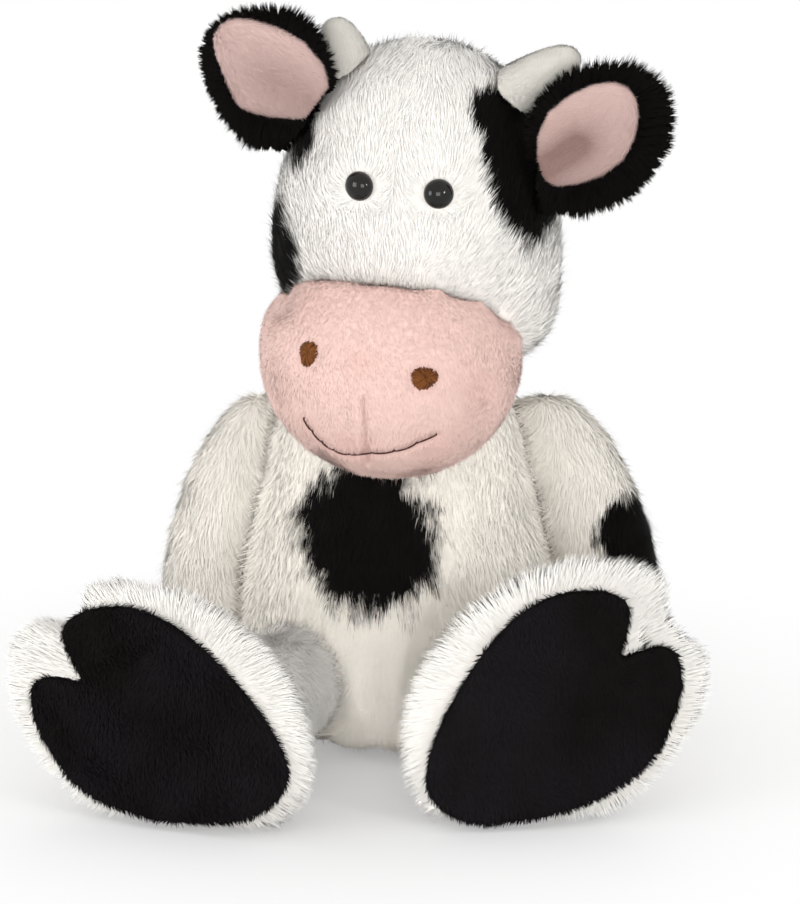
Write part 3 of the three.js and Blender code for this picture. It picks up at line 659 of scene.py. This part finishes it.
def join_pile(skin, name, material, verts, faces, shading, values, dye_and_shade, dice):
    """One mesh of the skin and its fibres, with a UV cell for each fibre."""
    points = places(skin)
    skin_faces = [list(p.vertices) for p in skin.data.polygons]
    start = len(points)
    mesh = bpy.data.meshes.new(name)
    sizes = [len(f) for f in skin_faces] + [3] * len(faces)
    corners = np.concatenate([np.concatenate(skin_faces), (faces + start).ravel()])
    mesh.vertices.add(start + len(verts))
    mesh.vertices.foreach_set("co", np.concatenate([points, verts]).ravel())
    mesh.loops.add(len(corners))
    mesh.loops.foreach_set("vertex_index", corners.astype(np.int32))
    mesh.polygons.add(len(sizes))
    mesh.polygons.foreach_set("loop_start", np.concatenate([[0], np.cumsum(sizes)[:-1]]).astype(np.int32))
    mesh.polygons.foreach_set("use_smooth", np.ones(len(sizes), bool))
    mesh.update(calc_edges=True)
    fibres = len(faces) // len(blade)
    cells = len(skin_faces) + fibres
    across = math.ceil(math.sqrt(cells))
    local = np.concatenate([np.concatenate([skin_uv[:len(f)] for f in skin_faces]), np.tile(blade_uv, (fibres, 1))])
    cell = np.repeat(np.arange(cells), [len(f) for f in skin_faces] + [len(blade_uv)] * fibres)
    corner = np.stack([cell % across, cell // across], 1)
    uv = mesh.uv_layers.new(name="OFBake")
    uv.data.foreach_set("uv", ((corner + 0.15 + 0.7 * local) / across).astype(np.float32).ravel())
    # The skin gets the same dye and painted shade as its fibres.
    skin_dye_and_shade = np.zeros(start) if dye_and_shade is None else dye_and_shade(points, dice)
    skin_values = {"rise": np.zeros(start), "tone": np.full(start, 0.5), "dye_and_shade": skin_dye_and_shade}
    write_values(mesh, {key: np.concatenate([skin_values[key], own]) for key, own in values.items()})
    mesh.normals_split_custom_set_from_vertices(np.concatenate([normals_of(skin), shading]).tolist())
    mesh.materials.append(material)
    piece = add_object(name, mesh)
    bpy.data.objects.remove(skin)
    print(name, fibres, "fibres", len(mesh.polygons), "faces")
    return piece


def neighbours(*names):
    """The surfaces of CAD nodes, for finding out what is close to a fibre."""
    shape = bmesh.new()
    for node in names:
        shape.from_mesh(nodes[node].data)
    tree = BVHTree.FromBMesh(shape)
    shape.free()
    return tree


print("fibre helpers ready")

# %% [markdown]
# ## Dyed patches
# A painted mask ends in a hard line. Here each fibre decides for itself: a blob with a
# wavy edge gives its dye, and at the edge black, grey and white are mixed.


# %% Patches
patches = {
    "head": [
        # centre, half sizes along x, y and z, in millimetres
        ((51, -44, 214), (11.5, 22, 20)),
        ((57, -40, 198), (13, 24, 19)),
        ((45, -48, 226), (8, 16, 9)),
        ((-32, -26, 172), (15, 20, 19)),
        ((-22, -29, 215), (7.5, 14, 11)),
    ],
    "torso": [((3, -36, 78), (25, 40, 25)), ((-6, -36, 84), (18, 36, 15)), ((2, -36, 94), (18, 30, 12))],
    "arm_left": [((96, 2, 72), (15, 17, 14)), ((101, 4, 62), (9, 14, 9))],
}


patch_edge = 0.26  # how much of a blob's half size its mixed edge takes up


def dyed(name):
    blobs = [(np.array(c) * mm, np.array(h) * mm) for c, h in patches[name]]

    def dye_and_shade(points, dice):
        wave = waver(points, 9 * mm, 3) * 0.22 + waver(points, 3.0 * mm, 5) * 0.16
        depth = np.full(len(points), -9.0)
        for centre, half in blobs:
            depth = np.maximum(depth, 1 - lengths_of((points - centre) / half))
        edge = depth + wave + 0.05 * dice.standard_normal(len(points))
        return np.clip(edge / patch_edge + 0.5, 0, 1)

    return dye_and_shade


print("patches on", list(patches))

# %% [markdown]
# ## Which way the fabric was brushed
# Long pile falls down the body and the arms. On the head it grows up and out from the
# muzzle, and round each eye it is pressed aside.


# %% Combs
def comb_to(direction):
    way = np.array(direction, float)
    return lambda roots, normals: np.tile(way, (len(roots), 1))


def comb_from(centre, pull=(0, 0, 0), parted=()):
    start = np.array(centre) * mm
    extra = np.array(pull, float)

    def comb(roots, normals):
        way = unit(roots - start) + extra
        for spot in parted:
            off = roots - np.array(spot)
            far = np.linalg.norm(off, axis=1, keepdims=True)
            way += 3 * unit(off) * bell(far, 8 * mm)
        return way

    return comb


def centre_of(node):
    low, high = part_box(node)
    return (low + high) / 2


print("combs ready")

# %% [markdown]
# ## Torso
# The body is two panels with a seam down the front and the back, which the simulation
# pins. The pellets make the lowest part of the belly bulge forward.

# %% Torso
torso_seam_x = 4 * mm
torso_skin = soft_skin("torso_skin", ["torso_cover"], ["torso_stuffing", "pellet_pouch"], pressure=4,
                       seams=lambda p: abs(p[:, 0] - torso_seam_x) < 2.5 * mm)
points = places(torso_skin)
low_belly = np.clip(1 - points[:, 2] / (50 * mm), 0, 1) * np.clip(-points[:, 1] / (20 * mm), 0, 1)
belly_sag = np.array((0, 12, 2)) * mm
points = points - low_belly[:, None] * belly_sag
points[:, 2] = np.maximum(points[:, 2], 0.6 * mm)
put(torso_skin, points)
limbs = ["arm_cover_left", "arm_cover_right", "leg_cover_left", "leg_cover_right"]
nestle(torso_skin, limbs, 3 * mm)
front_seam = np.array([(2, -44, 92), (4, -44, 60), (5, -46, 40), (6, -44, 18), (6, -32, 6)]) * mm
groove(torso_skin, front_seam, 2.2 * mm, 4 * mm)
long_pile = {"stray": 0.5, "lean": 80, "loose": 0.06, "width": 0.25 * mm, "cling": 0.08, "bridge": 2.5}


def torso_length(points):
    """The pile gets shorter from the waist to the neck."""
    return (4.8 - 1.4 * np.clip((points[:, 2] / mm - 78) / 24, 0, 1)) * mm


torso = grow(torso_skin, "torso_pile", cream_pile, 69000, torso_length, comb_to((0, -0.15, -1)), dye_and_shade=dyed("torso"),
             seed=11, near=["head_cover", "muzzle_cover", "tail_cord", *limbs], closest=0.0, **long_pile)
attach(torso, "torso")
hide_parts("torso_cover", "torso_stuffing", "pellet_pouch")

# %% [markdown]
# ## Head
# The washers press the eyes into the stuffing, so the skin has a shallow dent round each
# eye. The head leans on its left jowl, which bulges.

# %% Head
eye_at = {}
eye_way = {}
eye_plugs = []
eye_drop = {"left": 1.0 * mm, "right": 2.2 * mm}
for side in sides:
    eye = centre_of(f"eye_{side}") - Vector((0, 0, eye_drop[side]))
    eye_at[side] = eye
    eye_way[side] = (eye - centre_of(f"eye_washer_{side}")).normalized()
    eye_plugs.append((eye - eye_way[side] * 6 * mm, 6.5 * mm))
neck_seam_z = 132 * mm
head_skin = soft_skin("head_skin", ["head_cover"], ["head_stuffing"], eye_plugs, pressure=4,
                      seams=lambda p: p[:, 2] < neck_seam_z)
points = places(head_skin)
jowl = bell_at(points, (52, -22, 156), (16, 26, 18))
put(head_skin, points + np.outer(jowl, (5.0, -1.0, -4.5)) * mm)
for side in sides:
    dent = np.array([eye_at[side], eye_at[side] + eye_way[side] * mm])
    groove(head_skin, dent, 1.2 * mm, 8 * mm)


def under_eyes(points):
    off_stems = [off_line(points, np.array([at - way * 9 * mm, at + way * 5 * mm]))
                 for at, way in zip(eye_at.values(), eye_way.values())]
    return np.minimum(*off_stems) < 4.5 * mm


head = grow(head_skin, "head_pile", white_pile, 63000, 4.6 * mm,
            comb_from((13, -20, 158), (0, -0.05, 0.25), eye_at.values()), stray=0.6, dye_and_shade=dyed("head"), seed=12,
            lean=79, loose=0.07, width=0.26 * mm, cling=0.08, soft=0.97,
            near=["torso_cover", "muzzle_cover", "horn_cover_left", "horn_cover_right"], bare=under_eyes)
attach(head, "head")
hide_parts("head_cover", "head_stuffing")

# %% [markdown]
# ## Eyes
# Each eye is a dome with a stem. A sphere squeezed along its stem is close enough, and it
# is turned to look out along the line from the washer through the eye.

# %% Eyes
for side in sides:
    bpy.ops.mesh.primitive_uv_sphere_add(segments=40, ring_count=20, radius=5 * mm, location=eye_at[side],
                                         rotation=eye_way[side].to_track_quat("Z", "Y").to_euler(), scale=(1, 1, 0.78))
    eye = bpy.context.active_object
    eye.name = f"eye_dome_{side}"
    bpy.ops.object.transform_apply()
    bpy.ops.object.shade_smooth()
    eye.data.materials.append(eye_plastic.material)
    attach(eye, "head")
    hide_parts(f"eye_{side}")
    print(eye.name, [round(c / mm, 1) for c in eye_at[side]])

# %% [markdown]
# ## Muzzle
# The muzzle is short pile, so its creases show: a dart down the middle with a small ridge
# beside it, and a valley that the mouth's thread lies in. Both lines are a few places near
# the surface, moved to the nearest point of the skin.

# %% Muzzle
mouth_places = [(-19, -64, 127), (-16.3, -63.5, 123.6), (-13.6, -63.3, 120.6), (-10.6, -63.2, 118.2),
                (-7, -63.5, 116.4), (-3, -65.5, 115.6), (2.6, -70.2, 115.6), (8.8, -71.7, 116.2), (15, -72.4, 118),
                (21, -73, 121), (26, -71.1, 124)]
crease_places = [(1.6, -75.9, 137.5), (1.8, -75.5, 134), (2.0, -74.5, 127.8), (2.6, -69.6, 118.2), (3.0, -64, 112)]
nostril_places = {"right": (-17.5, -67.3, 150.5), "left": (22.0, -77.0, 144.0)}
muzzle_skin = soft_skin("muzzle_skin", ["muzzle_cover"], ["muzzle_stuffing"], voxel=1.5 * mm, smoothing=10,
                        inset=0.2 * mm, pressure=4)
apply_modifier(muzzle_skin, "SUBSURF", levels=1)
points = places(muzzle_skin)
corner = bell_at(points, (-26, -42, 165), (8, 14, 8))
put(muzzle_skin, points + np.outer(corner, (2.0, 0, -4.5)) * mm)
muzzle_tree = skin_tree(muzzle_skin)
mouth_line, mouth_normals = evened([on_skin(muzzle_tree, place) for place in smooth_line(mouth_places, 16)])
crease_line = np.array([on_skin(muzzle_tree, place)[0] for place in smooth_line(crease_places)])
nostril_at = {side: on_skin(muzzle_tree, place) for side, place in nostril_places.items()}
groove(muzzle_skin, mouth_line, 0.8 * mm, 1.3 * mm)
groove(muzzle_skin, crease_line, 1.6 * mm, 0.8 * mm)
groove(muzzle_skin, crease_line - np.array((2.8, 0, 0)) * mm, -0.6 * mm, 2.0 * mm)
for place, _ in nostril_at.values():
    groove(muzzle_skin, np.array([place, place + 0.1 * mm]), 1.4 * mm, 4.6 * mm)


# Painted shade: the pink is darker along the crease, in the mouth's valley and round the nostrils, with a smooth
# random tone added.
def muzzle_shade_and_tone(points, dice):
    crease = bell(off_line(points, crease_line), 0.6 * mm)
    mouth = bell(off_line(points, mouth_line), 1.2 * mm)
    rims = sum(np.exp(-((lengths_of(points - place) / (4.6 * mm)) ** 4)) for place, _ in nostril_at.values())
    return np.clip(0.9 * crease + 0.35 * mouth + 0.5 * rims + 0.25 * waver(points, 16 * mm, 8), 0, 1)


def muzzle_bare(points):
    near_nostril = [lengths_of(points - place) < 3.4 * mm for place, _ in nostril_at.values()]
    on_line = (off_line(points, mouth_line) < 0.5 * mm) | (off_line(points, crease_line) < 0.25 * mm)
    return on_line | near_nostril[0] | near_nostril[1]


muzzle = grow(muzzle_skin, "muzzle_pile", pink_pile, 43000, 1.9 * mm, comb_from((13, -40, 175), (0, 0, -0.6)),
              lean=62, loose=0.12, width=0.2 * mm, seed=13, stray=1.1, cling=0.2, lock=1.6 * mm, soft=0.92,
              near=["torso_cover"], dye_and_shade=muzzle_shade_and_tone, bare=muzzle_bare)
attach(muzzle, "head")
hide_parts("muzzle_cover", "muzzle_stuffing")

# %% [markdown]
# ## Embroidery
# Thread's round relief is what catches the light, so every stitch is a short round curve
# turned into a mesh. The nostrils are satin stitch, which runs from a rim to a small pit.
# The mouth's long stitches sink into the pile where they enter the fabric.


# %% Stitches
def thread(name, stitches, radius, material, seed):
    """A mesh of round threads, one for each list of points."""
    dice = np.random.default_rng(seed)
    curve = bpy.data.curves.new(name, "CURVE")
    set_all(curve, dimensions="3D", bevel_depth=radius, bevel_resolution=1, use_fill_caps=True)
    for points in stitches:
        spline = curve.splines.new("POLY")
        spline.points.add(len(points) - 1)
        for point, place in zip(spline.points, points):
            point.co = (*place, 1)
    use(add_object(name, curve))
    bpy.ops.object.convert(target="MESH")
    piece = bpy.context.active_object
    bpy.ops.object.shade_smooth()
    count = len(piece.data.vertices)
    values = {"rise": dice.random(len(stitches)), "tone": dice.random(len(stitches)), "dye_and_shade": np.zeros(len(stitches))}
    per = count // len(stitches)
    write_values(piece.data, {key: np.resize(np.repeat(value, per), count) for key, value in values.items()})
    piece.data.materials.append(material)
    print(name, len(stitches), "stitches", count, "vertices")
    return piece


nostril_shape = {"right": (0.8, 0.92), "left": (1.0, 0.8)}  # width and height, as shares of the rim's radius
threads = 64
for number, side in enumerate(nostril_at):
    place, normal = nostril_at[side]
    dice = np.random.default_rng(90 + number)
    right = unit(np.cross((0, 0, 1), normal))
    up = np.cross(normal, right)
    pit = place + (right * 0.5 + up * 0.4) * mm
    stitches = []
    for i in range(threads):
        turn = 2 * math.pi * i / threads
        rim = (4.4 + 0.3 * math.sin(3 * turn + number) + 0.22 * dice.standard_normal()) * mm
        wide, tall = nostril_shape[side]
        edge = place + (right * math.cos(turn) * wide + up * math.sin(turn) * tall) * rim
        row = []
        for t in np.linspace(0, 1, 7):
            arch = math.sin(math.pi * min(1, 0.12 + 0.88 * t)) ** 0.7
            height = (1.35 * arch - 0.75) * mm + 0.12 * mm * dice.random()
            row.append(pit + (edge - pit) * (0.08 + 0.92 * t) + normal * height)
        stitches.append(row)
    nostril = thread(f"nostril_stitch_{side}", stitches, 0.24 * mm, brown_thread, 95 + number)
    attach(nostril, "head")
    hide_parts(f"nostril_{side}")

mouth_stitches = []
span = 20  # points of the mouth's line in one stitch
for start in range(0, len(mouth_line) - span, span):
    row = []
    for i in range(start, start + span + 1):
        arch = math.sin(math.pi * (i - start) / span) ** 0.25
        row.append(mouth_line[i] + mouth_normals[i] * (0.7 * arch - 0.35) * mm)
    mouth_stitches.append(row)
mouth = thread("mouth_thread", mouth_stitches, 0.3 * mm, dark_thread, 99)
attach(mouth, "head")
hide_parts("mouth_stitching")

# %% [markdown]
# ## Arms
# The arms hang from the shoulders. They are filled more loosely than the body, though their cloth gets the same
# pressure here.

# %% Arms
for number, side in enumerate(sides):
    skin = stuffed_skin("arm", side, inset=1.8 * mm, pressure=4)
    nestle(skin, ["torso_cover"], 1.8 * mm)
    arm = grow(skin, f"arm_pile_{side}", cream_pile, 28000, 4.8 * mm, comb_to((0, -0.1, -1)), seed=20 + number,
               dye_and_shade=dyed("arm_left") if side == "left" else None,
               near=["torso_cover", f"leg_cover_{side}", "head_cover"], **long_pile)
    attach(arm, f"arm_{side}")
    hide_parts(f"arm_cover_{side}", f"arm_stuffing_{side}")

# %% [markdown]
# ## Legs
# The sole already has its cleft, and here the white rim gets one too: the skin near the
# cleft is drawn towards the middle of the sole. The rim's pile is long and stands out. At
# the hip the pile falls, and it is shaded as if it faced the viewer a little more.


# %% Legs
def sole_way(side):
    """The middle of the sole pad and the direction in which it faces."""
    mesh = nodes[f"sole_pad_{side}"].data
    middle = np.array(centre_of(f"sole_pad_{side}"))
    total = np.zeros(3)
    for face in mesh.polygons:
        normal = np.array(face.normal)
        if normal[1] < -0.5:
            total += normal * face.area
    return middle, total / np.linalg.norm(total)


cleft_at = {"left": (98, -101, 62), "right": (-97, -95, 67)}
hip_comb = np.array((0, -0.35, -1))
hip_face = np.array((0, -1.2, 0.3))  # how far the hip's normals are bent to the viewer
for number, side in enumerate(sides):
    skin = stuffed_skin("leg", side, inset=2 * mm, pressure=4)
    middle, facing = sole_way(side)
    cleft = np.array(cleft_at[side]) * mm
    out = cleft - middle
    out = unit(out - facing * (out @ facing))
    points = places(skin)
    off = points - (cleft + out * 9 * mm)
    behind = -(off @ facing)
    beside = lengths_of(off - np.outer(off @ facing, facing))
    pull = 15 * mm * bell(beside, 9 * mm) * bell(np.maximum(behind, 0), 26 * mm)
    put(skin, points - out * pull[:, None])
    nestle(skin, ["torso_cover"], 2 * mm)
    outward = comb_from(middle / mm - facing * 10)

    def at_hip(roots):
        return np.clip((-((roots - middle) @ facing) / mm - 12) / 12, 0, 1)[:, None]

    def leg_comb(roots, normals):
        return outward(roots, normals) * (1 - at_hip(roots)) + hip_comb * at_hip(roots)

    def leg_length(points):
        at_rim = bell((points - middle) @ facing, 14 * mm)
        return (4.6 + 2.0 * at_rim - 2.0 * bell(lengths_of(points - cleft), 12 * mm)) * mm

    leg = grow(skin, f"leg_pile_{side}", white_pile, 46500, leg_length, leg_comb, lean=68, loose=0.18, width=0.25 * mm,
               seed=30 + number, cling=0.1, near=["torso_cover"], under=[f"sole_pad_{side}"], closest=0.0, bridge=1.5,
               face=lambda roots: at_hip(roots) * hip_face)
    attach(leg, f"leg_{side}")
    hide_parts(f"leg_cover_{side}", f"leg_stuffing_{side}")

# %% [markdown]
# ## Sole pads
# The soles are a dense black plush, and parts of it were stroked the other way. Its sheen is
# painted into the colour: lighter patches, and painted shade in darker patches and near the cleft.

# %% Sole pads
def sole_sheen_and_shade(side):
    """Painted sheen and shade: the pile is darker in patches, where it was stroked the other way, and near the cleft,
    and lighter elsewhere.
    """
    def dye_and_shade(points, _):
        near = bell(lengths_of(points - np.array(cleft_at[side]) * mm), 24 * mm)
        return np.clip(0.25 + near + 1.3 * waver(points, 20 * mm, 4), 0, 1)

    return dye_and_shade


for number, side in enumerate(sides):
    skin = soft_skin(f"sole_skin_{side}", [f"sole_pad_{side}"], voxel=0.9 * mm, smoothing=5, inset=0.0)
    pad = grow(skin, f"sole_pile_{side}", sole_pile, 23000, 2.5 * mm, comb_to((0.2, 0, -1)), lean=54, loose=0.28,
               width=0.28 * mm, seed=40 + number, stray=1.4, cling=0.3, lock=2.2 * mm, soft=0.8, dye_and_shade=sole_sheen_and_shade(side))
    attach(pad, f"leg_{side}")
    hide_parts(f"sole_pad_{side}")

# %% [markdown]
# ## Ears
# An ear is a black furry back sewn to a smooth pink lining. The fur stands out past the
# seam in spiky tufts. The lining is folded at its root, and painted shade darkens it along
# the fold and around it, more on the left ear, whose lining lies in shade.

# %% Ears
# In millimetres: `pile` is its length, then what is added at the low and the high end,
# `trim` is how near a neighbour cuts it, and `wide` is the width of the fold's shade. `shade`
# gives the strength of the painted shade along the fold and round it.
ears = {
    "left": {"low": (-0.45, 0, -0.89), "high": (0.45, 0, 0.89), "pile": (3.9, 3.0, 3.6), "trim": 9,
             "hang": 0.24, "fold": (-0.78, -0.1, -0.63), "shade": (0.75, 0.5), "wide": 5.5, "turn": 0, "size": 0.93},
    "right": {"low": (0.45, 0, -0.89), "high": (0.6, 0, 0.8), "pile": (3.2, 4.5, 3.8), "trim": 11,
              "hang": 0.32, "fold": (0.86, 0, -0.5), "shade": (0.3, 0.2), "wide": 9, "turn": 12, "size": 1.0},
}


def fold_shade(points, fold, form):
    """How much painted shade the lining gets: most along its fold, wherever that lies in depth."""
    far = off_line(points * (1, 0.1, 1), fold * (1, 0.1, 1)) / mm
    return form["shade"][0] * bell(far, form["wide"]) + form["shade"][1] * bell(far, 15)


short_pile = {"width": 0.2 * mm, "stray": 0.8, "cling": 0.15, "lock": 1.5 * mm, "soft": 0.92}


def turned(points, centre, way, angle, size):
    """The points turned about a line through the centre, and then scaled about the centre."""
    off = points - centre
    cross = np.cross(way, off)
    off = off * math.cos(angle) + cross * math.sin(angle) + np.outer(off @ way, way) * (1 - math.cos(angle))
    return centre + off * size


for number, side in enumerate(sides):
    skin = soft_skin(f"ear_skin_{side}", [f"ear_back_{side}", f"ear_lining_{side}"], voxel=1.4 * mm, smoothing=6,
                     inset=1.8 * mm)
    middle = np.array(centre_of(f"ear_lining_{side}"))
    form = ears[side]
    low, high, fold_way = (np.array(form[key]) for key in ("low", "high", "fold"))
    points = places(skin)
    below = np.maximum(0, (points - middle) @ low)
    points = points + np.outer(below, low) * form["hang"]
    if side == "right":
        above = bell(lengths_of((points - middle) / mm - (9, 0, 15)), 13)
        points = points + np.outer(above, (1.5, 0, 3.5)) * mm
    put(skin, points)
    fold = np.array([middle + fold_way * 20 * mm, middle + fold_way * 3 * mm])
    groove(skin, fold, 1.6 * mm, 6 * mm)

    def ear_length(points):
        way = unit(points - middle)
        base, more_low, more_high = form["pile"]
        return (base + more_low * np.maximum(0, way @ low) + more_high * np.maximum(0, way @ high)) * mm

    ear = grow(skin, f"ear_pile_{side}", black_pile, 27000, ear_length, comb_from(middle / mm), lean=58, loose=0.35,
               loose_lean=30, seed=50 + number, cling=0.45, lock=3.4 * mm, soft=0.7, trim=form["trim"] * mm,
               reach=5 * mm, near=["head_cover", f"horn_cover_{side}"], under=[f"ear_lining_{side}"])
    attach(ear, f"ear_{side}")
    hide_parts(f"ear_back_{side}")
    lining = soft_skin(f"lining_skin_{side}", [f"ear_lining_{side}"], voxel=0.8 * mm, smoothing=6, inset=-0.8 * mm)
    points = places(lining)
    _, _, axes = np.linalg.svd(points - points.mean(0), full_matrices=False)
    face = axes[2] * (1 if axes[2][1] < 0 else -1)
    corner = points[np.argmax(points @ np.array((0.8 * sides[side], 0, 0.6)))]
    points = turned(points, corner, face, math.radians(form["turn"]), form["size"])
    if side == "right":
        aside = bell(lengths_of((points - middle) / mm - (-6, 0, -9)), 10)
        points = points + np.outer(aside, (-3.0, 0, -3.0)) * mm
    put(lining, points)
    groove(lining, fold, 0.8 * mm, 3.5 * mm)
    lining = grow(lining, f"lining_pile_{side}", lining_pile, 10000, 1.4 * mm, comb_to((-sides[side], 0, -0.4)),
                  lean=62, loose=0.1, seed=60 + number, dye_and_shade=lambda p, _: fold_shade(p, fold, form), **short_pile)
    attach(lining, f"ear_{side}")
    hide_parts(f"ear_lining_{side}")

# %% [markdown]
# ## Horns
# The horns' pile is so short that it only softens the outline.

# %% Horns
for number, side in enumerate(sides):
    skin = stuffed_skin("horn", side, voxel=0.9 * mm, inset=0.4 * mm)
    if side == "right":
        points = places(skin)
        put(skin, (points - points.mean(0)) * (1.1, 1.0, 0.98) + points.mean(0) + np.array((0.4, -0.4, -1.4)) * mm)
    horn = grow(skin, f"horn_pile_{side}", horn_felt, 7500, 1.2 * mm, comb_to((0, 0, 1)), lean=60, loose=0.12,
                seed=70 + number, **short_pile)
    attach(horn, "head")
    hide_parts(f"horn_cover_{side}", f"horn_stuffing_{side}")

# %% [markdown]
# ## Tail
# The photo doesn't show the back. The tail is a short white cord of pile with a black
# tuft at its end.

# %% Tail
tail_parts = {
    "tail_pile": ("tail_cord", "white pile", cream_pile, 7000, 4.5 * mm, 2.2 * mm, 81),
    "tuft_pile": ("tail_tuft", "black pile", black_pile, 8000, 8.0 * mm, 3.0 * mm, 82),
}
for name, (node, slot, finish, count, length, inset, seed) in tail_parts.items():
    skin = soft_skin(f"{node}_skin", [node], voxel=1.0 * mm, smoothing=6, inset=inset)
    piece = grow(skin, name, finish, count, length, comb_to((0, 0.7, -0.7)), seed=seed, near=["torso_cover"])
    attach(piece, "tail")
    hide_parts(node)

# %% [markdown]
# ## The stage
# The photo has a white ground with one soft shadow. More light would bleach the toy, so
# the white comes from the floor's own material: for the camera it glows more with distance
# from the toy, and only near the toy does it take a shadow.

# %% Floor, world and lamps
def for_the_eye(tree):
    """1 for rays from the camera, also by a gloss or through glass, and 0 for light on the toy."""
    path = tree.nodes.new("ShaderNodeLightPath")
    rays = ("Camera", "Glossy", "Transmission")
    seen, mirrored, through = (Sock(tree, path.outputs[f"Is {ray} Ray"]) for ray in rays)
    return seen.maths("MINIMUM", seen + mirrored + through, 1.0)


white_floor = 0.9
contact_white = 0.28  # how much of the floor's own glow is left beside the toy
bpy.ops.mesh.primitive_plane_add(size=8, location=(0, 0, -0.0002))
floor = bpy.context.active_object
floor.name = "floor"
paper = Finish("floor_paper", Base_Color=[white_floor] * 3, Roughness=0.9, Specular_IOR_Level=0.0)
spot = paper.node("TexCoord", out=3)
away = paper.node("VectorMath", out=1, settings={"operation": "LENGTH"}, Vector=spot)
far = paper.node("MapRange", i0=away, i1=0.125, i2=0.235, i3=contact_white, i4=1.0)
glow = paper.node("Emission", Color=(1, 1, 1), Strength=1.0)
shader = Sock(paper.tree, paper.shader.outputs[0])
blend = paper.node("MixShader", i0=for_the_eye(paper.tree) * far, i1=shader, i2=glow)
plug(paper.tree, blend, paper.tree.nodes["Material Output"].inputs["Surface"])
floor.data.materials.append(paper.material)

world = bpy.data.worlds.new("world")
bpy.context.scene.world = world
world.use_nodes = True
background = world.node_tree.nodes["Background"]
background.inputs["Color"].default_value = (1, 1, 1, 1)
ambient = 0.86
plug(world.node_tree, ambient + for_the_eye(world.node_tree) * (1.0 - ambient), background.inputs["Strength"])


def lamp(name, place, aim, size, power, spread=180):
    data = bpy.data.lights.new(name, "AREA")
    set_all(data, size=size, spread=math.radians(spread), energy=power)
    made = add_object(name, data)
    made.location = place
    made.rotation_euler = (Vector(aim) - Vector(place)).to_track_quat("-Z", "Y").to_euler()


lamp("front", (0.1, -2.1, 0.30), (0, 0, 0.08), 0.9, 14)
lamp("key", (1.3, -1.4, 0.6), (0, 0, 0.10), 0.22, 7)
lamp("low", (0.015, -1.2, 0.03), (0.012, 0, 0.035), 0.06, 0.006, 8)
lamp("back", (0.3, 1.9, 0.7), (0, 0, 0.10), 1.2, 14)
lamp("fill", (-1.7, -1.3, 0.45), (0, 0, 0.10), 0.9, 15)
bpy.context.scene.view_settings.view_transform = "Standard"
print("stage ready")
